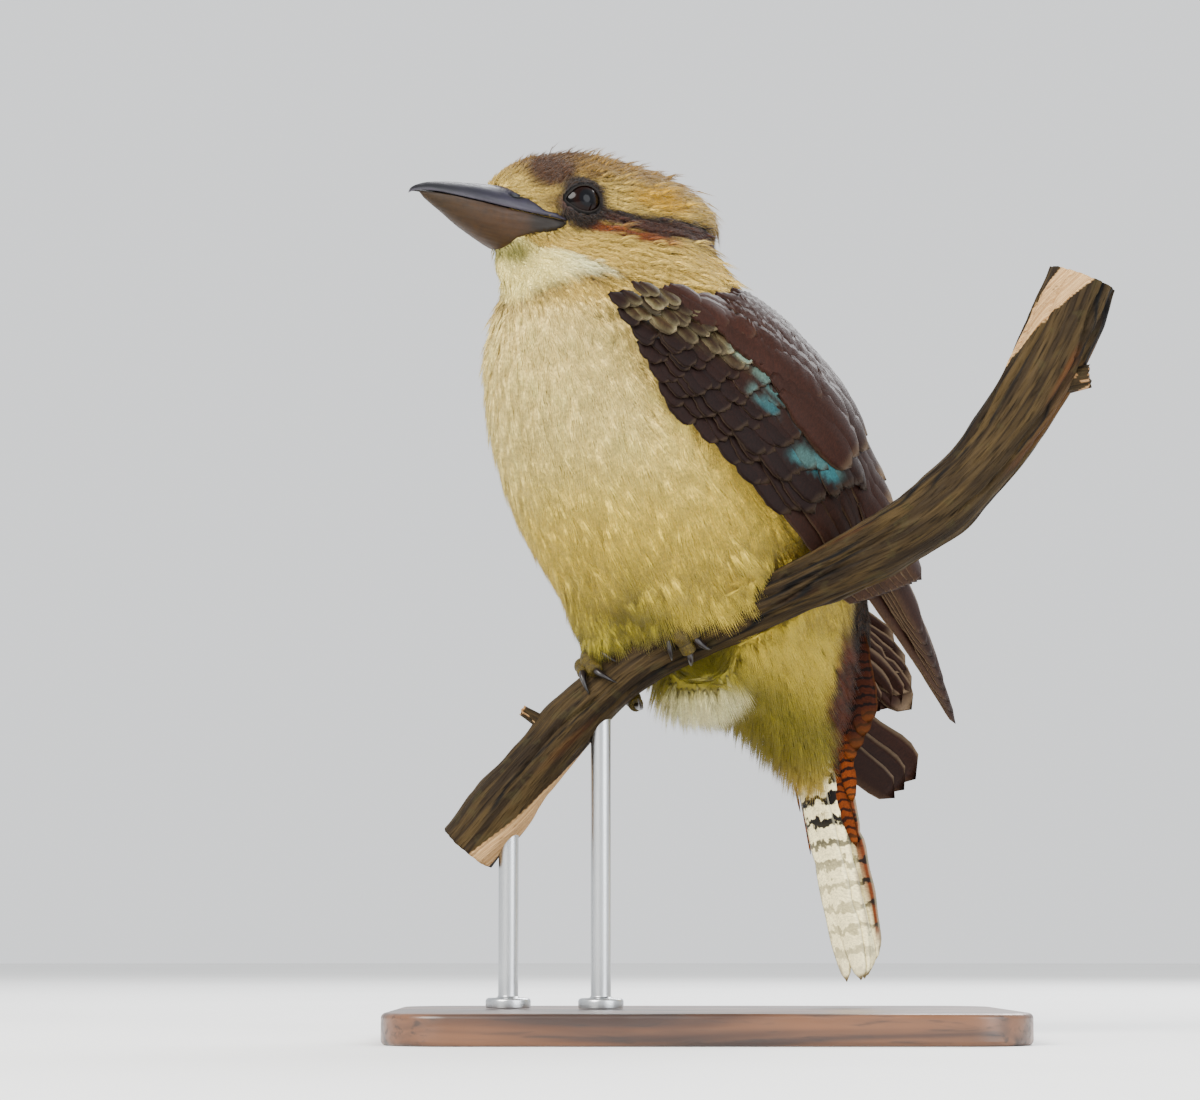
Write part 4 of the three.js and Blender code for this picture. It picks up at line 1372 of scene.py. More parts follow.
@dataclass
class Coat:
    """The small feathers over the skin."""

    skin: Skin
    shields: list[BVHTree] = field(default_factory=list)  # what the coat stays clear of
    finish: Material = None
    reach: float = 14.0  # how far from a shield feathers turn to lie over its edge
    clear: float = 5.0  # a root this near under a shield grows nothing
    sway: float = 0.16  # radians by which feathers lie askew
    patch: float = 0.003  # side of each feather's patch on the OFBake map

    def roots(self, tract: Tract) -> tuple[Points, Points]:
        """Spreads roots evenly over the part of the skin that a tract covers.

        Args:
            tract: The tract.

        Returns:
            The roots and the skin's normals there.
        """
        skin = self.skin
        draw = np.random.default_rng(tract.seed)
        a, b, c = (skin.corners[skin.triangles[:, i]] for i in range(3))
        middle = (a + b + c) / 3
        area = np.linalg.norm(np.cross(b - a, c - a), axis=1) / 2
        gap = tract.spacing(middle)
        weight = np.where(tract.region(middle), area / gap**2, 0.0)
        tries = int(weight.sum() * 5)
        picked = draw.choice(len(weight), tries, p=weight / weight.sum())
        r, s = draw.random(tries), draw.random(tries)
        fold = r + s > 1
        r, s = np.where(fold, 1 - r, r), np.where(fold, 1 - s, s)
        share = np.column_stack([1 - r - s, r, s])
        corner = skin.triangles[picked]
        points = np.einsum("ij,ijk->ik", share, skin.corners[corner])
        normals = unit(np.einsum("ij,ijk->ik", share, skin.normals[corner]))
        kept = self.thinned(points, gap[picked])
        return points[kept], normals[kept]

    @staticmethod
    def thinned(points: Points, gaps: Points) -> list[int]:
        """Keeps the points that stand no nearer than their gap to one kept before.

        Args:
            points: The points, in the order in which they are tried.
            gaps: The gap that each one needs.

        Returns:
            The numbers of the points kept.
        """
        size = float(gaps.max())
        cells: dict[tuple[int, int, int], list[int]] = {}
        kept: list[int] = []
        keys = np.floor(points / size).astype(int)
        near = list(itertools.product((-1, 0, 1), repeat=3))
        spots = points.tolist()
        for i, (cx, cy, cz) in enumerate(keys.tolist()):
            x, y, z = spots[i]
            limit = (gaps[i] * 0.82) ** 2
            clear = True
            for dx, dy, dz in near:
                for j in cells.get((cx + dx, cy + dy, cz + dz), ()):
                    px, py, pz = spots[j]
                    if (px - x) ** 2 + (py - y) ** 2 + (pz - z) ** 2 < limit:
                        clear = False
                        break
                if not clear:
                    break
            if clear:
                kept.append(i)
                cells.setdefault((cx, cy, cz), []).append(i)
        return kept

    @staticmethod
    def lie(points: Points, normals: Points) -> Points:
        """Gives the direction in which the feathers lie, along the skin.

        Args:
            points: The feathers' roots.
            normals: The skin's normals there.

        Returns:
            One direction for each.
        """
        head = place_back(HEAD, points)
        bird = place_back(BIRD, points)
        share = TRUNK_SHARES[trunk_share(bird)]
        down = -unit(TRUNK.axes(np.clip(share + 0.01, 0, 1))[0] - TRUNK.axes(np.clip(share - 0.01, 0, 1))[0])
        down = down @ BIRD[:3, :3].T
        away = unit(head - np.array([64.0, 0.0, -3.0]))
        away[:, 2] -= 0.25 * ease(0, -20, head[:, 2])
        away = away @ HEAD[:3, :3].T
        share = Markings.on_head(points) * ease(-42, -22, head[:, 0])
        flow = down + (unit(away) - down) * share[:, None]
        flow = unit(flow - np.sum(flow * normals, axis=1, keepdims=True) * normals)
        eye = Markings.eye_at + Markings.eye_faces * 6
        eye_side = eye * np.where(head[:, 1:2] >= 0, np.array([[1, 1, 1]]), np.array([[1, -1, 1]]))
        to_eye = unit((eye_side - head) @ HEAD[:3, :3].T)
        heading = np.maximum(0, np.sum(flow * to_eye, axis=1)) * ease(19, 9, Markings.eye_distance(points))
        flow = flow - to_eye * (1.25 * heading)[:, None]
        return unit(flow - np.sum(flow * normals, axis=1, keepdims=True) * normals)

    def covered(self, points: Points, normals: Points, reach: float) -> Points:
        """Tells which roots lie under a shield that is nearer than a reach.

        Args:
            points: The roots.
            normals: The skin's normals there.
            reach: How near a shield has to be.

        Returns:
            Whether each one is covered.
        """
        hidden = np.zeros(len(points), bool)
        for tree in self.shields:
            for i, (point, normal) in enumerate(zip(points, normals)):
                if not hidden[i]:
                    hit = tree.ray_cast(Vector(point - normal * 1.0), Vector(normal), reach + 1.0)
                    hidden[i] = hit[0] is not None
        return hidden

    def to_shields(self, points: Points) -> tuple[Points, Points]:
        """Gives the way from each place to the nearest shield, and how near that is, 0 to 1.

        Args:
            points: The roots.

        Returns:
            The ways and the nearness.
        """
        way, close = np.zeros_like(points), np.zeros(len(points))
        for i, spot in enumerate(points.tolist()):
            hits = [tree.find_nearest(spot, self.reach) for tree in self.shields]
            found = min((hit for hit in hits if hit[0] is not None), key=lambda hit: hit[3], default=None)
            if found:
                way[i], close[i] = np.array(found[0]) - points[i], 1 - found[3] / self.reach
        return way, close

    def grow(self, tract: Tract) -> list[Object]:
        """Grows a tract.

        Args:
            tract: The tract.

        Returns:
            The new pieces.
        """
        draw = np.random.default_rng(tract.seed + 100)
        roots, normals = self.roots(tract)
        open_to_air = ~self.covered(roots, normals, self.clear)
        roots, normals = roots[open_to_air], normals[open_to_air]
        flow = self.lie(roots, normals)
        count = len(roots)
        side = np.cross(normals, flow)
        yaw = draw.normal(0, self.sway, count)[:, None]
        flow = unit(flow + side * yaw)
        pull, close = self.to_shields(roots)
        close = close * (0.0 if tract.growth.on_head else 1.0) * ease(0.35, 0.1, Markings.dorsal(roots))
        pull = pull - np.sum(pull * normals, axis=1, keepdims=True) * normals
        flow = unit(flow + 0.9 * unit(pull) * close[:, None])
        side = np.cross(normals, flow)
        hang = tract.hang * np.maximum(0, 0.25 - normals[:, 2]) * ease(8, -4, place_back(BIRD, roots)[:, 2])
        flow = unit(flow + normals * hang[:, None] + np.array([0, 0, -0.8]) * hang[:, None])
        side = unit(np.cross(normals, flow))
        normals = np.cross(flow, side)
        length = tract.length(roots) * (1 + 0.12 * draw.standard_normal(count).clip(-2, 2))
        stray = 1 + (1.0 if tract.growth.on_head else 0.25) * (draw.random(count) > 0.9)
        stray = stray + 2.0 * close
        depth = self.skin.depth(roots) * tract.height * stray * (
            1 + 0.2 * draw.standard_normal(count).clip(-2, 2)
        )
        sink = np.zeros(count)
        for i, spot in enumerate(roots + flow * length[:, None]):
            near, normal, _, _ = self.skin.tree.find_nearest(Vector(spot))
            sink[i] = (Vector(spot) - near).dot(normal)
        sink = np.clip(sink, -0.5 * length, 0.5 * length) * np.clip(1 - 2 * hang, 0, 1)
        corners, triangles, vane = tract.quill.build()
        t = np.clip(corners[:, 0], 0, 1)
        rise = depth[:, None] * (1 - (1 - t) ** 2)[None] - sink[:, None] * (t**2)[None] - 0.25
        wide = (length * tract.width)[:, None] * corners[None, :, 1]
        ahead = length[:, None] * corners[None, :, 0]
        high = rise + length[:, None] * corners[None, :, 2]
        points = (
            roots[:, None] + flow[:, None] * ahead[..., None] + side[:, None] * wide[..., None]
            + normals[:, None] * high[..., None]
        )
        tone, bars = Markings.colours(roots)
        far = Markings.colours(roots + flow * (0.6 * length)[:, None])[0]
        own = draw.random(count)
        # painted shade: each feather darker at its root, where the feathers above cover it, and lighter to its
        # tip; own adds a random tone of its own
        light = (0.8 + 0.26 * t)[None] * (1 + 0.2 * (own - 0.5))[:, None]
        tones_with_painted_shade = (tone[:, None] * (1 - t)[None, :, None] + far[:, None] * t[None, :, None]) * light[..., None]
        marks = np.zeros((count, len(corners), 4))
        marks[..., 0] = (bars * (0.6 + 0.8 * draw.random(count)))[:, None]
        marks[..., 2] = own[:, None]
        marks[..., 3] = t[None]
        ruled = np.stack([ahead * 0.01, np.tile(vane[:, 1], (count, 1))], axis=2)
        spots = self.unwrapped(roots)
        patch = (np.column_stack([t, vane[:, 1]]) - 0.5) * self.patch
        home = spots[:, None] + patch[None]
        made = []
        bands = np.argsort(place_back(BIRD, roots)[:, 2])
        for number, chosen in enumerate(np.array_split(bands, tract.pieces)):
            offset = (np.arange(len(chosen)) * len(corners))[:, None, None]
            mesh = mesh_of(
                f"coat_{tract.growth.value}_{number + 1}",
                points[chosen].reshape(-1, 3),
                (triangles[None] + offset).reshape(-1, 3),
            )
            set_map(mesh, "OFBake", home[chosen].reshape(-1, 2))
            set_map(mesh, "Vane", ruled[chosen].reshape(-1, 2))
            set_colours(mesh, "Plumage", np.clip(tones_with_painted_shade[chosen], 0, 1).reshape(-1, 3))
            set_colours(mesh, "Marks", marks[chosen].reshape(-1, 4))
            piece = link_mesh(mesh.name, mesh)
            material_on(piece, self.finish)
            made.append(piece)
        LOG.info("%s: %d feathers of %d triangles", tract.growth.value, count, len(triangles))
        return made

    @staticmethod
    def unwrapped(points: Points) -> Points:
        """Lays the skin's surface out flat: round the trunk's line across, and along it upwards.

        Args:
            points: Places in the scene, in millimetres.

        Returns:
            A place on the map for each.
        """
        bird = place_back(BIRD, points)
        nearest = trunk_share(bird)
        middle, _, up, _ = (part[nearest] for part in TRUNK_AXES)
        offset = bird - middle
        turn = np.arctan2(offset[:, 1], -np.sum(offset * up, axis=1)) / math.tau + 0.5
        head = place_back(HEAD, points)
        on_head = Markings.on_head(points)
        crown = np.arctan2(head[:, 1], -head[:, 2] - 3) / math.tau + 0.5
        across = np.where(on_head > 0.5, crown, turn)
        body_rise = 0.02 + 0.6 * np.clip((bird[:, 2] + 70) / 240, 0, 1)
        head_rise = 0.66 + 0.32 * np.clip((head[:, 0] + 46) / 112, 0, 1)
        return np.column_stack([0.01 + 0.98 * across, np.where(on_head > 0.5, head_rise, body_rise)])


# ---- vanes


@dataclass(frozen=True)
class Blade:
    """The grid that every large feather is pressed from, smooth above and below, thin at its rim."""

    rows: int
    columns: int

    def build(self) -> tuple[Points, Points]:
        """Makes the grid: x along from 0 to 1, y across from -1 to 1, z 1 above, -1 below, 0 at the rim.

        Returns:
            The corners and the triangles.
        """
        shape = bmesh.new()
        bmesh.ops.create_grid(shape, x_segments=self.rows, y_segments=self.columns, size=1.0)
        upper = shape.verts[:]
        for vertex in upper:
            rim = vertex.is_boundary
            vertex.co = ((vertex.co.x + 1) / 2, vertex.co.y, 0.0 if rim else 1.0)
        lower = bmesh.ops.duplicate(shape, geom=shape.faces[:] + shape.edges[:] + upper)["geom"]
        for item in lower:
            if isinstance(item, BMVert):
                item.co.z = -item.co.z
        bmesh.ops.reverse_faces(shape, faces=[item for item in lower if isinstance(item, BMFace)])
        bmesh.ops.remove_doubles(shape, verts=shape.verts[:], dist=WELD)
        return arrays_of(shape)


@dataclass(frozen=True)
class Vane:
    """One large feather on a flat sheet, in millimetres."""

    root: tuple[float, float]
    tip: tuple[float, float]
    width: float
    heights: tuple[float, float]
    lean: float = 0.0
    blunt: float = 2.6  # higher is squarer at the tip
    skew: float = 0.0  # where the shaft runs across, -1 to 1
    bow: float = 0.1
    curl: float = 0.0  # how far the tip bends in
    thickness: float = 0.34
    seed: int = 0

    def press(self, grid: Points) -> tuple[Points, Points, Points]:
        """Shapes the grid into this feather.

        Args:
            grid: The corners of a Blade.

        Returns:
            The corners on the sheet, their share along the feather, and their place across it.
        """
        t, side, face = grid.T
        draw = np.random.default_rng(self.seed)
        start, end = np.array(self.root), np.array(self.tip)
        line = end - start
        length = np.linalg.norm(line)
        across = np.array([-line[1], line[0]]) / length
        base = 0.34 + 0.66 * ease(0.0, 0.4, t)
        edge = np.clip(1 - np.clip((t - 0.7) / 0.3, 0, 1) ** self.blunt, 0.0, 1) ** (1 / 2.0)
        ragged = 1 + 0.035 * np.sin(t * 41 + draw.random() * 6) * (abs(side) > 0.9)
        notch_at = draw.random(2) * 0.5 + 0.35
        for spot in notch_at:
            ragged = ragged - 0.14 * bell(t - spot, 0.018) * (np.sign(side) == np.sign(draw.random() - 0.5))
        reach = side * self.width / 2 * base * edge * ragged * (1 - self.skew * side * 0.5)
        sweep = 0.02 * length * np.sin(math.pi * t) * draw.normal()
        flat = start + line * t[:, None] + across * (reach + sweep)[:, None]
        high = self.heights[0] + (self.heights[1] - self.heights[0]) * t
        shaft = np.exp(-((side + self.skew * 0.5) / 0.09) ** 2) * 0.28 * (1 - 0.7 * t)
        z = high + self.bow * self.width / 2 * (1 - side**2) - self.lean * reach - self.curl * t**3
        z = z + face * self.thickness / 2 + shaft * np.maximum(face, 0) - shaft * 0.6 * np.maximum(-face, 0)
        return np.column_stack([flat, z]), t, side


@dataclass
class Plumes:
    """Gathers large feathers into one mesh."""

    name: str
    blade: Blade
    bend: Callable[[Points], Points]
    dye: Callable[[Points, Points, Points, Points], tuple[Points, Points]]
    vanes: list[Vane] = field(default_factory=list)

    def build(self, material: Material) -> Object:
        """Presses, bends and dyes every feather and joins them.

        Args:
            material: The finish of them all.

        Returns:
            The one piece.
        """
        grid, triangles = self.blade.build()
        points, maps, bakes, tones, marks, faces = [], [], [], [], [], []
        cells = math.ceil(math.sqrt(len(self.vanes)))
        for number, vane in enumerate(self.vanes):
            flat, t, side = vane.press(grid)
            own = np.full(len(t), np.random.default_rng(vane.seed + 9).random())
            tone, mark = self.dye(flat, t, side, own)
            length = math.dist(vane.root, vane.tip)
            points.append(self.bend(flat))
            maps.append(np.column_stack([t * length * 0.01, 0.5 + 0.5 * side]))
            cell = np.array([number % cells, number // cells])
            half = np.where(grid[:, 2] >= 0, 0.0, 0.5)
            bakes.append((cell + 0.04 + np.column_stack([0.92 * t, half + 0.42 * (0.5 + 0.5 * side)])) / cells)
            tones.append(tone)
            marks.append(mark)
            faces.append(triangles + number * len(grid))
        mesh = mesh_of(self.name, np.vstack(points), np.vstack(faces))
        set_map(mesh, "OFBake", np.vstack(bakes))
        set_map(mesh, "Vane", np.vstack(maps))
        set_colours(mesh, "Plumage", np.clip(np.vstack(tones), 0.001, 1))
        set_colours(mesh, "Marks", np.vstack(marks))
        piece = link_mesh(self.name, mesh)
        material_on(piece, material)
        return piece


def row_of(ends: tuple[Sequence[float], Sequence[float]], count: int) -> list[tuple[float, float]]:
    """Spaces places evenly along a line between two points of a sheet.

    Args:
        ends: The two points.
        count: How many places.

    Returns:
        The places.
    """
    (x0, y0), (x1, y1) = ends
    return [(x0 + (x1 - x0) * s, y0 + (y1 - y0) * s) for s in (i / max(count - 1, 1) for i in range(count))]


@dataclass(frozen=True)
class WingSheet:
    """The curved sheet that a folded wing's feathers lie on, as in the solids.

    On the flat sheet x runs from the wrist to the tip, y up towards the back and z outwards.
    """

    side: int
    middle: tuple[float, float, float]
    along: tuple[float, float, float]
    out: tuple[float, float, float]
    origin: float = 95.0
    line: float = 12.0
    round: float = 64.0
    long: float = 480.0
    clear: float = 3.0

    def bend(self, flat: Points) -> Points:
        """Takes places from the flat sheet to the scene, in millimetres.

        Args:
            flat: Places on the flat sheet.

        Returns:
            The places in the scene.
        """
        x_axis = unit(np.array(self.along))
        z_axis = np.array(self.out)
        z_axis = unit(z_axis - x_axis * (z_axis @ x_axis))
        y_axis = np.cross(z_axis, x_axis)
        x, y, z = flat.T
        turn = (y - self.line) / self.round
        high = (self.round + z) * np.cos(turn) - self.round
        run = (x - self.origin) / self.long
        local = np.column_stack(
            [
                (self.long + high) * np.sin(run), self.line + (self.round + z) * np.sin(turn),
                (self.long + high) * np.cos(run) - self.long
            ]
        )
        bird = local @ np.vstack([x_axis, y_axis, z_axis]) + np.array(self.middle)
        bird = out_of_trunk(bird, self.clear + z)
        return place(BIRD, bird * np.array([1, self.side, 1]))


@dataclass(frozen=True)
class Wing:
    """A folded wing: flight feathers, rows of coverts, and scapulars over their roots."""

    name: str
    sheet: WingSheet
    primary_tips: tuple[tuple[float, float], ...]
    secondary_tips: tuple[tuple[float, float], ...]
    primaries: int = 9
    secondaries: int = 11
    drape_from: float = 22.0
    drape: float = 0.15
    lowest: float = -1.8
    primary_width: float = 11.0
    primary_blunt: float = 2.8
    # rows of coverts: lowest tip, highest tip, length, width, how many
    rows: tuple[tuple[float, ...], ...] = (
        (100, -20, 118, 14, 33, 10.2, 14), (85, -20, 104, 17, 27, 9.8, 15), (72, -20.5, 91, 20, 23, 9.4, 16),
        (60, -21, 77, 21, 20, 9, 16), (49, -21, 65, 21, 17, 8.6, 16), (39, -20.5, 54, 20, 15, 8.2, 15),
        (30, -18, 43, 17, 13, 7.8, 14), (22, -14.5, 33, 15, 12, 7.4, 13), (14, -11.5, 23, 13.5, 11, 7, 11),
        (6, -8.5, 14, 9, 10, 6.6, 8), (-1, -5.5, 5, 5, 9, 6, 5),
    )
    # rows of scapulars: the same
    shoulder: tuple[tuple[float, ...], ...] = (
        (20, 14, 23, 17, 15, 9, 2), (31, 15, 39, 30, 19, 11, 5), (43, 18, 55, 50, 23, 12, 8),
        (55, 18, 70, 62, 27, 13, 9), (68, 18, 82, 70, 30, 14, 9), (81, 17, 93, 75, 34, 15, 9),
        (95, 13.5, 103, 79, 38, 15.5, 9), (109, 9.5, 112, 81, 42, 16, 9),
    )
    tertials: tuple[tuple[float, float], ...] = ((147, 9), (143, 16), (138, 23), (130, 31))

    coffee = np.array(paint(36, 21, 15))
    dusk = np.array(paint(25, 14, 11))
    chestnut = np.array(paint(43, 25, 19))
    ash = np.array(paint(84, 64, 44))
    teal = np.array(paint(38, 76, 80))
    mist = np.array(paint(80, 98, 88))
    sage = np.array(paint(66, 58, 36))
    pale = np.array(paint(104, 98, 72))

    def flight_dye(self, flat: Points, t: Points, side: Points, own: Points) -> tuple[Points, Points]:
        """Dyes primaries and secondaries: dusky webs, the outer ones ashy near their rims.

        Args:
            flat: Places on the flat sheet.
            t: Their share along the feather.
            side: Their place across it.
            own: A number of the feather's own.

        Returns:
            A colour for each place, and its marks.
        """
        x, y, _ = flat.T
        outer = ease(-0.1, -0.7, side) * ease(110, 160, x)
        tone = mix(self.coffee, self.ash, outer * 0.2)
        tone = mix(tone, self.chestnut, ease(4, 20, y) * 0.5)
        tone = tone * (0.8 + 0.4 * own)[:, None]
        return tone, np.column_stack([0 * t, 0.1 + 0.25 * ease(110, 150, x), own, 0.8 * t])

    def covert_dye(self, flat: Points, t: Points, side: Points, own: Points) -> tuple[Points, Points]:
        """Dyes the coverts: dusky, scalloped in pale sage at the wrist, with lines of blue-green flecks.

        Args:
            flat: Places on the flat sheet.
            t: Their share along the feather.
            side: Their place across it.
            own: A number of the feather's own.

        Returns:
            A colour for each place, and its marks.
        """
        x, y, _ = flat.T
        tone = np.tile(self.dusk, (len(t), 1))
        tone = mix(tone, self.coffee, ease(-8, 10, y) * 0.8)
        wrist = (
            ease(58, 44, x)
            * ease(-2, 4, y - np.interp(x, (0, 20, 40, 56), (-9, -4, 3, 8)))
            * ease(-6, 2, x)
        )
        rim = np.maximum(ease(0.6, 0.95, t), 0.8 * ease(0.45, 0.9, abs(side)))
        centre = ease(0.5, 0.15, abs(side)) * ease(0.95, 0.75, t)
        wrist_tone = mix(mix(self.sage, self.pale, rim), self.coffee, centre * 0.85)
        tone = mix(tone, wrist_tone, wrist * (0.2 + 0.6 * own))
        line = np.interp(x, (40, 47, 60, 72, 80, 86), (13, 13, 10.5, 10, 7.5, 6))
        first = ease(5.2, 2.4, abs(y - line)) * ease(36, 44, x) * ease(88, 82, x)
        second = ease(4.6, 2.0, abs(y + 4 - 0.35 * (x - 84))) * ease(80, 86, x) * ease(108, 102, x)
        third = 0.6 * ease(3.5, 1.5, abs(y - 2)) * ease(52, 57, x) * ease(72, 67, x)
        shine = (
            np.maximum(np.maximum(first, second), third)
            * ease(0.4, 0.62, t) * ease(1.0, 0.93, t) * ease(0.0, 0.3, own) * ease(1.0, 0.7, abs(side))
        )
        blue = mix(self.mist, self.teal, np.clip(ease(46, 68, x) * (0.4 + own), 0, 1))
        tone = mix(tone, blue, np.clip(shine, 0, 0.92))
        tone = tone * (0.8 + 0.4 * own)[:, None]
        return tone, np.column_stack([0 * t, 0.08 + 0.35 * wrist * own, own, t])

    def scapular_dye_and_shade(self, flat: Points, t: Points, side: Points, own: Points) -> tuple[Points, Points]:
        """Dyes the scapulars: smooth warm brown, with faint rims to the rear, and painted shade that darkens each
        one towards its root.

        Args:
            flat: Places on the flat sheet.
            t: Their share along the feather.
            side: Their place across it.
            own: A number of the feather's own.

        Returns:
            A colour for each place, and its marks.
        """
        x, y, _ = flat.T
        tone = mix(self.chestnut, self.coffee, ease(22, 58, y + 16 * (own - 0.5)))
        # painted shade: each scapular darker towards its root, under the ones above; own gives a random tone of
        # its own
        tone = tone * (0.82 + 0.32 * own)[:, None] * (0.86 + 0.22 * t)[:, None]
        return tone, np.column_stack([0 * t, 0.05 + 0.35 * ease(84, 130, x), own, t])

    def flights(self) -> list[Vane]:
        """Lays out primaries and secondaries, the ones nearer the back over the others.

        Returns:
            The feathers.
        """
        made = []
        for i, (root, tip) in enumerate(
            zip(row_of(((74, -12), (80, 8)), self.primaries), row_of(self.primary_tips, self.primaries))
        ):
            share = i / (self.primaries - 1)
            lift = 5.75 * share
            made.append(
                Vane(
                    root, tip, self.primary_width + 3 * share, (0.2 + 0.3 * lift, -3 + lift), 0.05,
                    self.primary_blunt, -0.35, 0.07, 0.6, seed=10 + i
                )
            )
        roots, tips = row_of(
            ((46, -11), (88, 31)), self.secondaries
        ), row_of(self.secondary_tips, self.secondaries)
        for i, (root, tip) in enumerate(zip(roots, tips)):
            share = i / (self.secondaries - 1)
            made.append(
                Vane(
                    root, tip, 15 + 2.4 * share, (2.0, 9.6 + 0.9 * share), 0.2, 5.0, -0.25, 0.09, 0.8,
                    seed=40 + i
                )
            )
        return made

    def coverts(self) -> list[Vane]:
        """Lays out the rows of coverts, each row over the next one's roots.

        Returns:
            The feathers.
        """
        made = []
        for number, (x0, y0, x1, y1, length, width, count) in enumerate(self.rows):
            for i, (x, y) in enumerate(row_of(((x0, y0), (x1, y1)), int(count))):
                draw = np.random.default_rng(100 * number + i)
                x, y = x + draw.normal() * 1.1, y + draw.normal() * 0.6
                high = float(np.interp(x, (0, 20, 40, 100), (2.6, 4.2, 5.4, 10)))
                above = y - np.interp(x, (-6, 5, 15, 20, 29, 39), (0, -5, -8, -12, -16, -21))
                high -= min(high + 2.5, 3.0) * ease(9, 0, above)
                tilt = math.radians(-12 + 5 * draw.normal())
                root = (x - length * math.cos(tilt), y - length * math.sin(tilt))
                wide = width * (1 + 0.1 * draw.normal())
                heights = (high - 4.2, high + 0.7 * draw.random())
                made.append(
                    Vane(root, (x, y), wide, heights, 0.1, 1.7, -0.1, 0.13, 0.8, seed=500 + 20 * number + i)
                )
        return made

    def scapulars(self) -> list[Vane]:
        """Lays out the scapulars from the shoulder back, and the long tertials beyond them.

        Returns:
            The feathers.
        """
        made = []
        for number, (x0, y0, x1, y1, length, width, count) in enumerate(self.shoulder):
            for i, (x, y) in enumerate(row_of(((x0, y0), (x1, y1)), int(count))):
                draw = np.random.default_rng(900 + 100 * number + i)
                x, y = x + draw.normal() * 1.8, y + draw.normal() * 0.8
                high = 3.6 + 8.4 * np.clip((x - 20) / 105, 0, 1) ** 0.7
                high = max(self.lowest, high - self.drape * max(0.0, y - self.drape_from))
                slope = 0.02 + 0.7 * ease(60, 20, x) * ease(14, 26, y) - 0.06 * ease(20, 50, y)
                root = (x - length, y - (slope + 0.03 * draw.normal()) * length)
                heights = (high - 3.4, high + 0.7 * draw.random())
                made.append(
                    Vane(root, (x, y), width, heights, -0.04, 1.8, 0.0, 0.1, 1.0, seed=1500 + 20 * number + i)
                )
        for i, (x, y) in enumerate(self.tertials):
            made.append(
                Vane(
                    (x - 64, min(y + 7, 38)), (x, y), 15, (4.0, 10.8 - 0.5 * i), -0.02, 2.2, 0.1, 0.1, 0.8,
                    seed=1990 + i
                )
            )
        return made

    def build(self, material: Material) -> list[Object]:
        """Builds the wing's three pieces.

        Args:
            material: The finish of all three.

        Returns:
            Flight feathers, coverts and scapulars.
        """
        bend = self.sheet.bend
        return [
            Plumes(f"flight_{self.name}", Blade(32, 8), bend, self.flight_dye, self.flights()).build(material),
            Plumes(f"coverts_{self.name}", Blade(11, 6), bend, self.covert_dye, self.coverts()).build(material),
            Plumes(
                f"scapulars_{self.name}", Blade(16, 6), bend, self.scapular_dye_and_shade, self.scapulars()
            ).build(material),
        ]


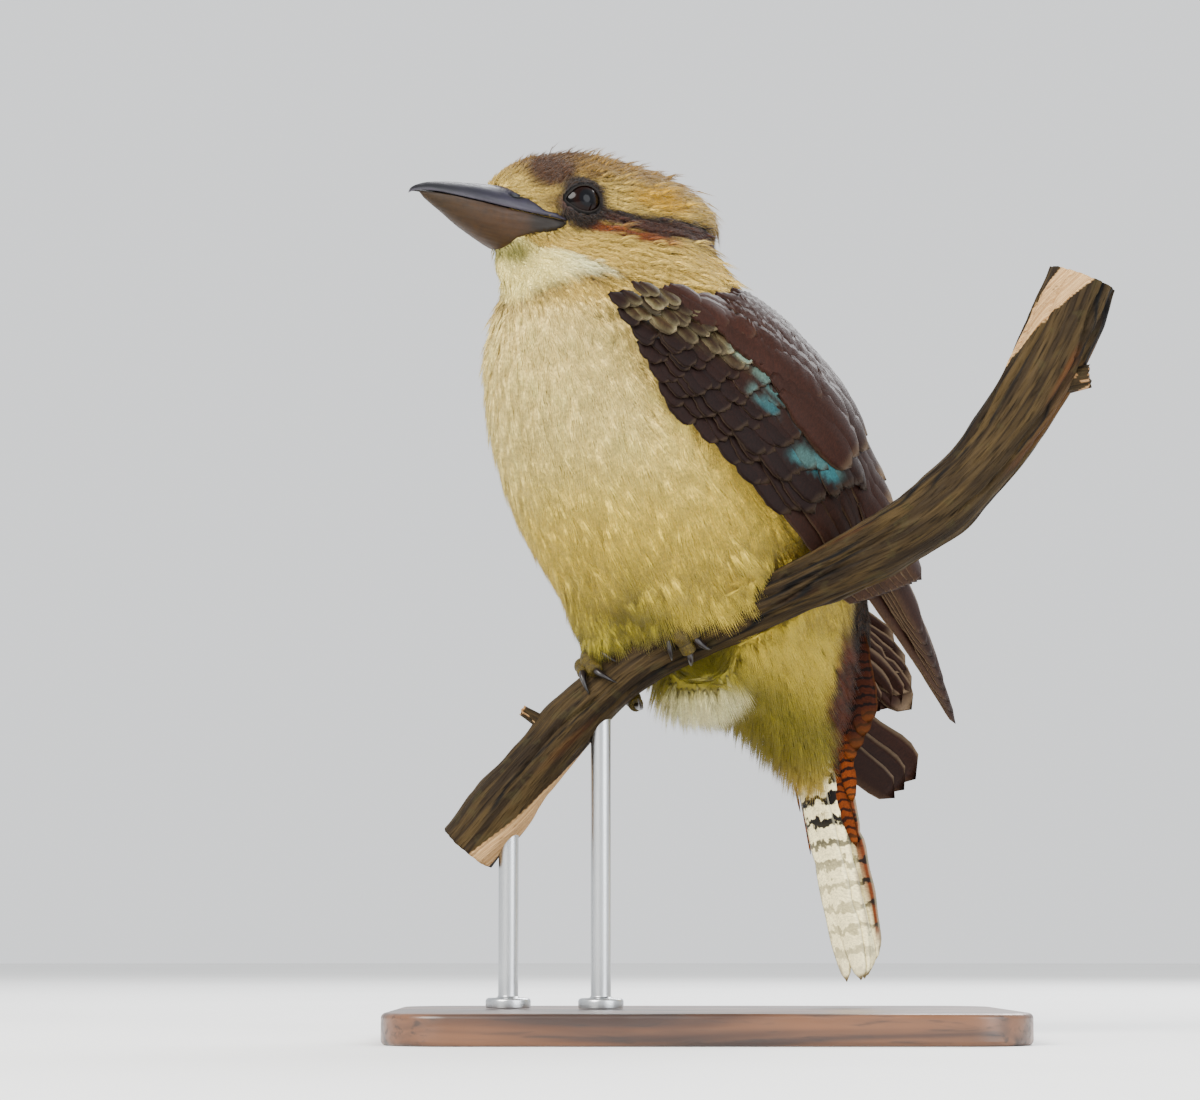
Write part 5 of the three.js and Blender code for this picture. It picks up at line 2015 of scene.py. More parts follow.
@dataclass(frozen=True)
class Tail:
    """The closed tail of six pairs, the outer ones in front, with white tips and barred webs."""

    pairs: int = 6
    arch: float = 0.012
    step: float = 1.05
    white = np.array(paint(250, 237, 180))
    rufous = np.array(paint(88, 42, 5))

    def bend(self, flat: Points) -> Points:
        """Takes places from the tail's flat sheet to the scene.

        Args:
            flat: Places on the flat sheet.

        Returns:
            The places in the scene.
        """
        root, tip = np.array([-71.0, 0, -4]), np.array([-98.0, 0, -139])
        x_axis = unit(tip - root)
        y_axis = np.array([0.0, 1, 0])
        z_axis = np.cross(x_axis, y_axis)
        z = flat[:, 2] - self.arch * flat[:, 1] ** 2
        bird = root + np.outer(flat[:, 0], x_axis) + np.outer(flat[:, 1], y_axis) + np.outer(z, z_axis)
        return place(BIRD, bird)

    def dye(self, flat: Points, t: Points, side: Points, own: Points) -> tuple[Points, Points]:
        """Dyes the feathers: white with sparse bars; outer webs rufous and closely barred in black.

        Args:
            flat: Places on the flat sheet.
            t: Their share along the feather.
            side: Their place across it.
            own: A number of the feather's own.

        Returns:
            A colour for each place, and its marks.
        """
        x, y, _ = flat.T
        left = ease(12.0, 13.4, y - 2.5 * ease(60, 20, x)) * ease(1.0, 0.95, t)
        right = ease(-9.0, -11.0, y) * ease(0.66, 0.5, t) + 0.7 * ease(-4.0, -7.0, y) * ease(0.93, 0.965, t)
        warm = np.maximum(np.maximum(left, right), ease(0.2, 0.1, t))
        tone = mix(self.white, self.rufous, warm)
        tone = tone * (0.9 + 0.14 * own)[:, None]
        bars = np.where(warm > 0.4, 0.95, 1.0 - 0.5 * ease(70, 100, x)) * ease(1.0, 0.93, t)
        return tone, np.column_stack([bars, 0.25 + 0 * t, own, t])

    def vanes(self) -> list[Vane]:
        """Lays out the pairs.

        Returns:
            The feathers.
        """
        length = math.dist((-71, -4), (-98, -139))
        made = []
        for side in (1, -1):
            for pair in range(self.pairs):
                drop = -self.step * pair - (self.step / 2 if side < 0 else 0)
                made.append(
                    Vane(
                        (6, side * (2.2 + 1.3 * pair)), (length - 0.35 * pair**2, side * (4.6 + pair)), 13.0,
                        (-0.7 * pair, drop), 0.0, 3.2, -0.12 * side, 0.08, 0.0, seed=3000 + 10 * pair + side,
                    )
                )
        return made

    def side_dye_and_shade(self, flat: Points, t: Points, side: Points, own: Points) -> tuple[Points, Points]:
        """Dyes the long coverts beside the tail's root: rufous, barred in black, darkened away from the tail as
        painted shade.

        Args:
            flat: Places on the flat sheet.
            t: Their share along the feather.
            side: Their place across it.
            own: A number of the feather's own.

        Returns:
            A colour for each place, and its marks.
        """
        # painted shade: the coverts darkened away from the tail, near its root
        tone = self.rufous * np.array([1, 0.95, 1]) * (
            1.0 - 0.75 * ease(18, 22, abs(flat[:, 1])) * ease(52, 44, flat[:, 0])
        )[:, None]
        return tone * (0.8 + 0.4 * own)[:, None], np.column_stack([0.75 + 0.2 * own, 0.12 + 0 * t, own, t])

    def side_vanes(self) -> list[Vane]:
        """Lays out the long coverts beside the tail's root.

        Returns:
            The feathers.
        """
        made = []
        spots = (
            (-16, 28, 36, 28, 8), (-16, 25, 41, 25.5, 8), (-14, 22, 46, 22.5, 8), (-10, 19.5, 50, 20, 7),
            (8, 17.5, 66, 17, 5.5), (24, 16, 84, 15, 4.5)
        )
        for side, inward in ((1, 0), (-1, 3.0)):
            for i, (x0, y0, x1, y1, width) in enumerate(spots):
                root, tip = (x0, side * y0 + inward), (x1, side * y1 + inward)
                heights = (-6 + 0.8 * i, -3.4 + 0.5 * i)
                made.append(
                    Vane(root, tip, width, heights, 0.3 * side, 2.2, 0, 0.12, 0, seed=3300 + 20 * i + side)
                )
        return made

    def build(self, material: Material, covert_material: Material) -> list[Object]:
        """Builds the tail's feathers, and the coverts beside its root.

        Args:
            material: The finish of the tail's feathers.
            covert_material: The finish of the coverts.

        Returns:
            The two pieces.
        """
        return [
            Plumes("tail_vanes", Blade(40, 8), self.bend, self.dye, self.vanes()).build(material),
            Plumes(
                "tail_coverts", Blade(24, 6), self.bend, self.side_dye_and_shade, self.side_vanes()
            ).build(covert_material),
        ]


# ---- bill and eyes


@dataclass(frozen=True)
class BillHalf:
    """One half of the bill: flat along the mouth line, bowed away from it, in the head's frame."""

    name: str
    slot: str
    upper: bool
    stations: tuple[tuple[float, float, float, float], ...]  # forward, mouth line's z, half width, depth
    finish: HornFinish
    nostril_at: tuple[float, float, float] = (56.0, 10.8, -3.4)
    nostril: tuple[float, float, float] = (4.6, 3.0, 0.95)

    def surface(self, corners: Points) -> Points:
        """Takes a ball's corners to this half.

        Args:
            corners: The ball's corners.

        Returns:
            The corners in the head's frame.
        """
        share, turn = ball_shares(corners)
        rows = tuple((x, 0, m, h, *((d, 0.05) if self.upper else (0.05, d))) for x, m, h, d in self.stations)
        loft = Loft(rows)
        points = loft.surface(share, turn)
        _, _, _, reach = loft.axes(share)
        flat = (np.sin(turn) < 0) if self.upper else (np.sin(turn) > 0)
        inward = 0.55 * ease(1.0, 0.93, abs(np.cos(turn))) * np.clip(reach[:, 0] / 3, 0, 1)
        points[:, 2] += np.where(flat, inward if self.upper else -inward, 0)
        round_way = abs(np.sin(turn))
        swell = np.where(flat, 0, 0.05 * np.sin(math.pi * np.clip(round_way, 0, 1) * 1.0) * reach[:, 0])
        points[:, 1] += np.sign(points[:, 1]) * np.minimum(swell, 0.5)
        rough = drift(points, 5.0, 2) * 0.12 + drift(points, 1.6, 3) * 0.05
        points[:, 2] += rough * np.where(flat, 0, 1)
        sunk = 1 - 2.2 * ease(0.4, 3.4, -Markings.past_bill_line(points)) / np.maximum(reach[:, 0], 6)
        middle = np.array(self.stations)[:, 1].mean()
        points[:, 1] *= sunk
        points[:, 2] = middle + (points[:, 2] - middle) * np.where(flat, 1, sunk)
        if self.upper:
            for side in (1, -1):
                spot = np.array(self.nostril_at) * np.array([1, side, 1])
                offset = (points - spot) / np.array(self.nostril)
                offset[:, 2] += 0.12 * offset[:, 0]
                inside = ease(1.0, 0.45, np.linalg.norm(offset, axis=1))
                points[:, 1] -= side * 1.5 * inside
                rim = np.exp(-((np.linalg.norm(offset, axis=1) - 1.15) ** 2) / 0.03)
                points[:, 1] += side * 0.16 * rim
        return points

    def build(self) -> Object:
        """Builds and dresses this half.

        Returns:
            The piece.
        """
        piece = reshaped(self.name, ball(84, 120), lambda corners: place(HEAD, self.surface(corners)))
        x, y, z = place_back(HEAD, corners_of(piece)).T
        rows = np.array(self.stations)
        mouth, half, deep = (np.interp(x, rows[:, 0], rows[:, i]) for i in (1, 2, 3))
        rise = abs(z - mouth)
        edge = ease(1.5, 0.3, rise) * 0.8
        wear = np.column_stack([ease(56, 99, x), np.clip(edge, 0, 1), 0 * x])
        if self.upper:
            # painted shade inside the nostrils
            hole = (np.column_stack([x, abs(y), z]) - np.array(self.nostril_at)) / np.array(self.nostril)
            wear[:, 2] = ease(0.95, 0.6, np.linalg.norm(hole, axis=1))
        else:
            # painted shade along the mouth line at the rear of the lower half
            wear[:, 2] = (
                0.9 * ease(60, 42, x + 6 * drift(place_back(HEAD, corners_of(piece)), 6, 7))
                * ease(1.0, 0.3, rise / np.maximum(deep, 0.5))
            )
        set_colours(piece.data, "Wear", wear)
        turn = np.arctan2(rise, np.maximum(abs(y), 1e-3)) * np.maximum(half, 1.0)
        set_map(piece.data, "Lengthwise", np.column_stack([x * 0.01, turn * 0.01 + np.sign(y) * 0.3]))
        material_on(piece, self.finish.make())
        return piece


UPPER_BILL = BillHalf(
    "bill_horn_upper", "bill_dark", True,
    (
        (18, -9.6, 0, 0), (22, -9.6, 11, 6), (34, -9.8, 17.3, 11.5), (46, -9.4, 15, 13), (58, -8.8, 12, 11.2),
        (72, -8, 8.8, 8.6), (84, -7.3, 5.4, 6), (94, -7.2, 2.7, 3.4), (100, -8.4, 1, 1.5), (102, -9.6, 0, 0),
    ),
    HornFinish(
        "dark bill horn", paint(26, 23, 36), paint(8, 7, 14), paint(60, 54, 64), paint(4, 3, 3), 0.44, 0.08
    ),
)
LOWER_BILL = BillHalf(
    "bill_horn_lower", "bill_horn", False,
    (
        (18, -10, 0, 0), (22, -10, 10.6, 9), (34, -10.2, 16.9, 13.5), (46, -9.8, 14.6, 14.6),
        (58, -9.2, 11.6, 13.2),
        (72, -8.4, 8.4, 9.8), (84, -7.7, 5, 5.8), (93, -7.6, 2.2, 2.4), (97, -7.7, 0, 0),
    ),
    HornFinish(
        "pale bill horn", paint(50, 31, 0), paint(42, 29, 2), paint(30, 18, 2), paint(18, 14, 10), 0.58, 0.03
    ),
)


@dataclass(frozen=True)
class Eye:
    """One eye in its socket, with its lids, in the head's frame."""

    side: int
    name: str
    radius: float = 8.6
    pupil: float = 3.5
    iris: float = 5.9
    opening: tuple[float, float] = (6.7, 5.1)  # half the lids' opening along and up
    lid_reach: float = 10.3

    @property
    def facing(self) -> Points:
        """Gives the direction in which the eye looks."""
        return Markings.eye_faces * np.array([1, self.side, 1])

    @property
    def middle(self) -> Points:
        """Gives the eyeball's middle."""
        return Markings.eye_at * np.array([1, self.side, 1])

    def frame(self) -> Points:
        """Gives the eye's axes as rows: forward across the lids, up, and out.

        Returns:
            The three axes.
        """
        out = self.facing
        ahead = unit(np.array([1.0, 0, -0.1]) - out * (np.array([1.0, 0, -0.1]) @ out))
        return np.vstack([ahead, np.cross(out, ahead), out])

    def rim(self, x: Points, y: Points) -> Points:
        """Gives the radius of the lids' opening in the direction of places on the eye's front.

        Args:
            x: The places' x in the eye's frame.
            y: Their y.

        Returns:
            A radius for each.
        """
        turn = np.arctan2(y, x)
        corner = bell(np.sin(turn), 0.3) * np.where(x > 0, 0.9, 0.4)
        return 1 / np.hypot(np.cos(turn) / self.opening[0], np.sin(turn) / self.opening[1]) + corner

    def dome(self, x: Points, y: Points) -> tuple[Points, Points]:
        """Gives the height of the lids' outer surface round the opening, and each place's share outward.

        Args:
            x: The places' x in the eye's frame.
            y: Their y.

        Returns:
            The heights and the shares.
        """
        edge = self.rim(x, y)
        share = np.clip((np.hypot(x, y) - edge) / (self.lid_reach - edge), 0, 1)
        start = np.sqrt(np.maximum(self.radius**2 - edge**2, 1)) + 0.5
        return start + (2.4 - start) * share**1.9, share

    @classmethod
    def bedded(cls, points: Points) -> Points:
        """Sinks the skin's places behind both eyeballs and fits them under the lids.

        Args:
            points: Places in the scene, in millimetres.

        Returns:
            The moved places.
        """
        points = points.copy()
        for side in (1, -1):
            eye = cls(side, "")
            local = (place_back(HEAD, points) - eye.middle) @ eye.frame().T
            reach = np.hypot(local[:, 0], local[:, 1])
            near = (reach < cls.lid_reach) & (local[:, 2] > 0)
            x, y, z = local[near].T
            high, _ = eye.dome(x, y)
            behind = np.sqrt(np.maximum(cls.radius**2 - reach[near] ** 2, 1)) - 1.8
            target = np.where(reach[near] > eye.rim(x, y) + 0.9, high - 0.1, behind)
            local[near, 2] = z + (target - z) * ease(cls.lid_reach, 8.6, reach[near])
            points[near] = place(HEAD, local[near] @ eye.frame() + eye.middle)
        return points

    def build_ball(self) -> Object:
        """Builds the eyeball with a slightly raised cornea.

        Returns:
            The piece.
        """

        def mould(corners: Points) -> Points:
            """Raises the cornea and turns the eye to face out.

            Args:
                corners: The ball's corners.

            Returns:
                Their places in the scene.
            """
            across = np.hypot(corners[:, 0], corners[:, 1])
            bulge = 0.03 * ease(0.7, 0.0, across) * (corners[:, 2] > 0)
            local = corners * (self.radius * (1 + bulge))[:, None]
            return place(HEAD, local @ self.frame() + self.middle)

        piece = reshaped(f"eyeball_{self.name}", ball(64, 48), mould)
        local = (place_back(HEAD, corners_of(piece)) - self.middle) @ self.frame().T
        across = np.hypot(local[:, 0], local[:, 1]) + np.where(local[:, 2] < 0, 20, 0)
        marks = np.column_stack(
            [
                ease(self.iris, self.iris - 0.7, across), ease(self.pupil + 0.35, self.pupil - 0.35, across),
                0 * across
            ]
        )
        set_colours(piece.data, "Iris", marks)
        return piece

    def build_lids(self) -> Object:
        """Builds the lids: a finely wrinkled skin round an oval opening, with a thin pale rim.

        Returns:
            The piece.
        """
        shape = bmesh.new()
        profile = [
            (share, 0.0) for share in (0, 0.04, 0.1, 0.18, 0.3, 0.45, 0.6, 0.8, 1)
        ] + [(1, -1.0), (0.5, -1.4), (0.02, -1.2)]
        ring = [shape.verts.new((1 + share, 0, z)) for share, z in profile]
        edges = [shape.edges.new((a, b)) for a, b in zip(ring, ring[1:] + ring[:1])]
        spun(shape, ring, edges, 112)
        told: dict[str, Points] = {}

        def mould(corners: Points) -> Points:
            """Lays the ring on the eye round its opening.

            Args:
                corners: The ring's corners.

            Returns:
                Their places in the scene.
            """
            x, y, z = corners.T
            share = np.hypot(x, y) - 1
            turn = np.arctan2(y, x)
            edge = self.rim(x, y)
            reach = edge + (self.lid_reach - edge) * share
            ahead, up = reach * np.cos(turn), reach * np.sin(turn)
            high, _ = self.dome(ahead, up)
            bead = 0.2 * bell(share - 0.08, 0.05) * (z > -0.5)
            crease = 0.07 * np.sin(turn * 44 + 3 * np.sin(turn * 5)) * ease(0.12, 0.3, share)
            told["wear"] = np.column_stack([ease(0.05, 0.12, share), 0 * share, 0 * share])
            low = 1.6 * ease(0.14, 0.42, share)
            return place(
                HEAD, np.column_stack([ahead, up, high + z + bead + crease - low]) @ self.frame() + self.middle
            )

        mould_verts(shape.verts[:], mould)
        piece = finished(f"lids_{self.name}", shape)
        set_colours(piece.data, "Wear", told["wear"])
        return piece


# ---- perch and feet


PERCH = (
    (-93, 18, 76, 12.4), (-68, 12, 106, 11.8), (-44, 6, 132, 10.2), (-22, 0, 150, 9.6), (0, -6, 161, 9.6),
    (28, -17, 172.5, 10.3), (57, -31, 185, 11.4), (84, -42, 199.5, 12.5), (107, -49, 221, 12.8),
    (126, -54, 248, 13), (139, -57, 274, 13.4), (146, -59, 292, 13.8),
)


@dataclass(frozen=True)
class Perch:
    """The cut branch with its cracks, peeling bark, sawn ends and two broken shoots."""

    cap: float = 0.05  # share of the rows spent on each sawn end
    stubs: tuple[tuple[float, tuple[float, float, float], tuple[float, float]], ...] = (
        (0.83, (149, -60, 254), (6.5, 4.6)),
        (0.14, (-72, 8, 131), (3.8, 2.2)),
    )

    @staticmethod
    def line() -> Loft:
        """Gives the branch as a loft."""
        return Loft(tuple((x, y, z, r, r, r) for x, y, z, r in PERCH))

    @staticmethod
    def relief(along: Points, turn: Points) -> tuple[Points, Points]:
        """Gives the bark's height in millimetres, and how much of a crack is there, 0 to 1.

        Args:
            along: Millimetres along the branch.
            turn: Angles round it.

        Returns:
            The heights and the cracks.
        """
        ring = np.column_stack([along, 11 * np.cos(turn), 11 * np.sin(turn)])
        warp = drift(ring * np.array([0.35, 1, 1]), 9, 21) * 3.2
        drawn = np.column_stack([along / 9, ring[:, 1] + warp, ring[:, 2] - warp])
        ridges = 1 - abs(drift(drawn, 3.4, 22)) * 2
        fine = drift(drawn * np.array([1.6, 1, 1]), 1.5, 23)
        lumps = drift(ring, 17, 24)
        cracks = np.zeros(len(along))
        for where, start, end, wide, wander in (
            (2.4, 112, 250, 0.10, 0.22), (1.1, 95, 260, 0.075, 0.24), (3.6, 60, 215, 0.07, 0.35),
            (0.2, 150, 330, 0.08, 0.3), (-0.9, 10, 120, 0.07, 0.3), (-1.9, 180, 350, 0.09, 0.28),
            (4.4, 215, 372, 0.06, 0.2), (1.9, 240, 370, 0.07, 0.25), (2.9, 148, 236, 0.08, 0.12),
            (2.05, 140, 205, 0.07, 0.1), (3.2, 20, 100, 0.06, 0.3), (2.6, 262, 350, 0.06, 0.2),
            (3.9, 120, 190, 0.05, 0.2), (-2.6, 230, 372, 0.05, 0.15),
        ):
            path = where + wander * np.sin(along / 31 + where * 3) + 0.07 * np.sin(along / 7.3 + where)
            gap = abs((turn - path + math.pi) % math.tau - math.pi)
            strength = ease(start, start + 22, along) * ease(end, end - 26, along)
            cracks = np.maximum(cracks, ease(wide, wide * 0.25, gap + 0.02 * fine) * strength)
        flake = ease(118, 140, along) * ease(153, 151, along + 5 * fine) * np.exp(
            -(((turn - 2.2 + 0.1 * fine) / 0.36) ** 4)
        )
        torn = ease(150, 153, along) * ease(172, 158, along) * np.exp(-(((turn - 2.25) / 0.34) ** 4))
        cracks = np.maximum(cracks * (1 - flake), 0.9 * torn)
        height = 0.55 * ridges * ease(-0.6, 0.6, lumps) + 0.25 * fine + 0.8 * lumps - 1.6 * cracks + 2.2 * flake
        return height, cracks

    def build(self) -> Object:
        """Builds the branch and its shoots as one piece.

        Returns:
            The piece.
        """
        line = self.line()
        rows = np.array(PERCH)[:, :3]
        shares = np.linspace(0, 1, 400)
        path = spline(rows, shares)
        run = np.concatenate([[0], np.cumsum(np.linalg.norm(np.diff(path, axis=0), axis=1))])
        told: dict[str, Points] = {}

        def mould(corners: Points) -> Points:
            """Draws the ball out to the branch with flat ends.

            Args:
                corners: The ball's corners.

            Returns:
                Their places in the scene.
            """
            share, turn = ball_shares(corners)
            place_on = np.clip((share - self.cap) / (1 - 2 * self.cap), 0, 1)
            inward = np.clip(np.minimum(share, 1 - share) / self.cap, 0, 1)
            along = np.interp(place_on, shares, run)
            height, cracks = self.relief(along, turn)
            middle, side, up, reach = line.axes(place_on)
            radius = (reach[:, 0] + height) * inward
            knot = (
                np.exp(-(((along - 62) / 9) ** 2) - ((turn - 1.7) / 0.5) ** 2)
                + np.exp(-(((along - 292) / 13) ** 2) - ((turn - 2.4) / 0.7) ** 2)
            )
            radius = radius + 1.4 * knot * inward
            rough = 0.35 * drift(np.column_stack([radius * np.cos(turn), radius * np.sin(turn), 0 * turn]), 1.6, 9)
            ends = (inward < 1) * np.where(share < 0.5, -1, 1) * (rough - 0.4 * (1 - inward))
            ahead = np.cross(side, up)
            splits = drift(np.column_stack([radius * np.cos(turn) * 3, turn * 9, 0 * turn]), 2, 4)
            worn = drift(np.column_stack([along / 5, 11 * np.cos(turn), 11 * np.sin(turn)]), 8, 31)
            told["wear"] = np.column_stack([
                np.maximum(cracks * (inward >= 1), 0.8 * ease(0.55, 0.9, splits) * (inward < 0.98)),
                ease(0.25, 0.5, worn) * (0.12 + 0.88 * ease(270, 330, along)),
                (inward < 1).astype(float),
            ])
            around = np.where(inward < 1, radius * 0.8, 11) * np.minimum(abs(turn), math.pi)
            told["map"] = np.column_stack([(along + (1 - inward) * 12) * 0.01, around * 0.01])
            return middle + side * (
                radius * np.cos(turn)
            )[:, None] + up * (radius * np.sin(turn))[:, None] - ahead * ends[:, None]

        shape = ball(110, 340)
        mould_verts(shape.verts[:], mould)
        wear, places = [told["wear"]], [told["map"]]
        for share, end, radii in self.stubs:
            wear_of, map_of = self.add_stub(shape, line, share, end, radii)
            wear.append(wear_of)
            places.append(map_of)
        piece = finished("perch_branch", shape)
        set_colours(piece.data, "Wear", np.vstack(wear))
        set_map(piece.data, "Lengthwise", np.vstack(places))
        return piece

    @staticmethod
    def add_stub(
        shape: BMesh, line: Loft, share: float, end: Sequence[float], radii: Sequence[float]
    ) -> tuple[Points, Points]:
        """Adds a broken shoot with a splintered end.

        Args:
            shape: The bmesh that it goes in.
            line: The branch.
            share: Where on the branch it starts.
            end: Where it ends.
            radii: Its radii at the start and the end.

        Returns:
            The Wear and the Lengthwise place of each of its corners.
        """
        made = bmesh.ops.create_uvsphere(shape, u_segments=40, v_segments=36, radius=1.0)["verts"]
        corners = np.array([v.co[:] for v in made])
        along, turn = ball_shares(corners)
        start = line.axes(np.array([share]))[0][0]
        way = np.array(end) - start
        length = np.linalg.norm(way)
        way = way / length
        side = unit(np.cross(way, np.array([0.3, 1.0, 0.2])))
        up = np.cross(way, side)
        cap = np.clip((1 - along) / 0.14, 0, 1)
        t = np.clip((along - 0.06) / 0.8, 0, 1)
        bark = 0.35 * drift(np.column_stack([t * 4, 5 * np.cos(turn), 5 * np.sin(turn)]), 2.0, 41)
        radius = (
            (radii[0] + (radii[1] - radii[0]) * t**0.6 + 2.2 * np.exp(-t * 5) + bark)
            * np.minimum(cap, np.clip(along / 0.06, 0, 1))
        )
        splinter = np.where(
            cap < 1,
            1.4 * drift(np.column_stack([radius * np.cos(turn), radius * np.sin(turn), 0 * turn]), 1.3, 42)
            - 1.2 * (1 - cap),
            0,
        )
        points = (
            start + way * (t * (length - 1.2) + splinter)[:, None]
            + side * (radius * np.cos(turn))[:, None] + up * (radius * np.sin(turn))[:, None]
        )
        for vertex, point in zip(made, points):
            vertex.co = point * MM
        wear = np.column_stack([0.5 * ease(0.3, 0.8, -bark / 0.35), 0.6 * (cap < 1), 0.6 * (cap < 1)])
        return wear, np.column_stack([t * length * 0.01, abs(turn) * 0.05])


@dataclass(frozen=True)
class Toe:
    """One toe round the branch, as angles from its top and shifts along it."""

    angles: tuple[float, float]
    shifts: tuple[float, float]
    radii: tuple[float, float]
    joints: int


TOES = (
    Toe((4, 126), (0, 0), (4.2, 3.2), 4),
    Toe((4, 108), (2, 4.6), (3.8, 2.8), 4),
    Toe((4, 92), (-2, -5.0), (3.8, 2.9), 3),
    Toe((-4, -84), (0, -1), (4.0, 3.0), 3),
)


@dataclass(frozen=True)
class Foot:
    """A foot that grips the branch: scaly toes and shank, and claws apart from them."""

    name: str
    side: int
    share: float
    turn: float
    hock: tuple[float, float, float]
    gap: float = 0.35

    def grip(self, angle: Points, shift: Points, height: Points) -> Points:
        """Gives places round the branch from angles in degrees, shifts along it and heights over it.

        Args:
            angle: Degrees from the branch's top.
            shift: Millimetres along it.
            height: Millimetres over it.

        Returns:
            One place for each.
        """
        share = np.array([self.share])
        middle = Perch.line().axes(share)[0][0]
        rows = np.array(PERCH)[:, :3]
        step = 1e-3
        ahead = unit((spline(rows, share + step) - spline(rows, share - step))[0])
        up = np.array([0, 0, 1.0])
        up = unit(up - ahead * (up @ ahead))
        front = np.cross(ahead, up)
        spot = self.share * (len(PERCH) - 1)
        low = int(spot)
        radius = PERCH[low][3] + (PERCH[low + 1][3] - PERCH[low][3]) * (spot - low)
        turn = np.radians(angle)
        out = np.outer(np.cos(turn), up) + np.outer(np.sin(turn), front)
        return middle + out * (radius + np.asarray(height))[:, None] + np.outer(shift, ahead)

    def ahead(self) -> Points:
        """Gives the direction along the branch at the foot."""
        ends = self.grip(np.zeros(2), np.array([0.0, 1.0]), np.zeros(2))
        return ends[1] - ends[0]

    def toe_loft(self, toe: Toe) -> Loft:
        """Gives a toe's form without its claw.

        Args:
            toe: The toe.

        Returns:
            Its form.
        """
        t = np.linspace(0, 1, 13)
        angle = toe.angles[0] + (toe.angles[1] - toe.angles[0]) * t + self.turn
        shift = self.side * (toe.shifts[0] + (toe.shifts[1] - toe.shifts[0]) * t**0.8)
        pads = 1 + 0.1 * np.cos(2 * math.pi * toe.joints * t)
        radius = (toe.radii[0] + (toe.radii[1] - toe.radii[0]) * t) * pads * np.where(t > 0.97, 0.86, 1)
        spots = self.grip(angle, shift, self.gap + radius * 0.98)
        rows = [(*spots[0], 0, 0, 0)] + [(*p, r * 0.97, r, r * 0.96) for p, r in zip(spots, radius)]
        step = np.sign(toe.angles[1]) * 5
        past = self.grip(np.array([angle[-1] + step]), shift[-1:], np.array([self.gap + radius[-1]]))[0]
        rows.append((*past, 0, 0, 0))
        rows[0] = (*(spots[0] - (spots[1] - spots[0]) * 0.4), 0, 0, 0)
        return Loft(tuple(rows), tuple(self.ahead()))

    def claw_loft(self, toe: Toe) -> Loft:
        """Gives a claw's form: a sharp hook that leaves the toe's end.

        Args:
            toe: The toe that it ends.

        Returns:
            Its form.
        """
        way = np.sign(toe.angles[1])
        lead = 1 if toe.shifts[1] > 0 else -1
        t = np.array([-0.3, 0.0, 0.4, 0.8, 1.2, 1.7, 2.2, 2.7, 3.0])
        angle = toe.angles[1] + way * 14 * t + self.turn
        shift = self.side * (toe.shifts[1] + lead * np.clip(t, 0, 3) * 1.2)
        height = self.gap + np.array([3.0, 3.1, 3.5, 3.7, 3.6, 3.2, 2.5, 1.5, 0.8])
        radius = np.array([0, 1.5, 1.9, 1.75, 1.5, 1.15, 0.8, 0.4, 0.0])
        spots = self.grip(angle, shift, height)
        return Loft(tuple((*p, 0.72 * r, r, r * 0.85) for p, r in zip(spots, radius)), tuple(self.ahead()))

    def shank_loft(self) -> Loft:
        """Gives the shank, from the toes up into the feathered thigh.

        Returns:
            Its form.
        """
        ankle = self.grip(np.array([self.turn + 0.0]), np.zeros(1), np.array([3.0]))[0]
        top = place(BIRD, np.array([self.hock]))[0]
        t = np.array([-0.12, 0.0, 0.12, 0.3, 0.5, 0.75, 1.0, 1.06])
        radius = np.array([0, 4.6, 4.5, 3.7, 3.4, 3.4, 3.6, 0])
        return Loft(tuple((*(ankle + (top - ankle) * s), r, r, r) for s, r in zip(t, radius)), (1.0, 0.0, 0.0))

    def scaled(self, name: str, loft: Loft, rows: int, scutes: int) -> Object:
        """Builds one scaly form.

        Args:
            name: The piece's name.
            loft: Its form.
            rows: How many rows of faces it has.
            scutes: How many broad scales lie along its upper side.

        Returns:
            The piece.
        """
        told: dict[str, Points] = {}

        def mould(corners: Points) -> Points:
            """Wraps the ball round the form and raises the scales.

            Args:
                corners: The ball's corners.

            Returns:
                Their places in the scene.
            """
            share, turn = ball_shares(corners)
            wave = (share * scutes) % 1.0
            over = ease(-0.1, 0.35, np.sin(turn))
            shell = np.where(wave < 0.12, wave / 0.12, 1 - 0.35 * (wave - 0.12)) - 0.5
            pebble = np.sin(share * scutes * 2.6 * math.tau) * np.sin(turn * 9) * 0.5
            told["wear"] = np.column_stack(
                [
                    np.clip(ease(0.14, 0.0, wave) * over + 0.5 * ease(0.2, -0.5, pebble) * (1 - over), 0, 1),
                    0 * share, 0 * share
                ]
            )
            ends = ease(0, 0.06, share) * ease(1, 0.94, share)
            return loft.surface(share, turn, (0.34 * shell * over + 0.22 * pebble * (1 - over)) * ends)

        shape = ball(36, rows)
        mould_verts(shape.verts[:], mould)
        piece = finished(name, shape)
        set_colours(piece.data, "Wear", told["wear"])
        return piece

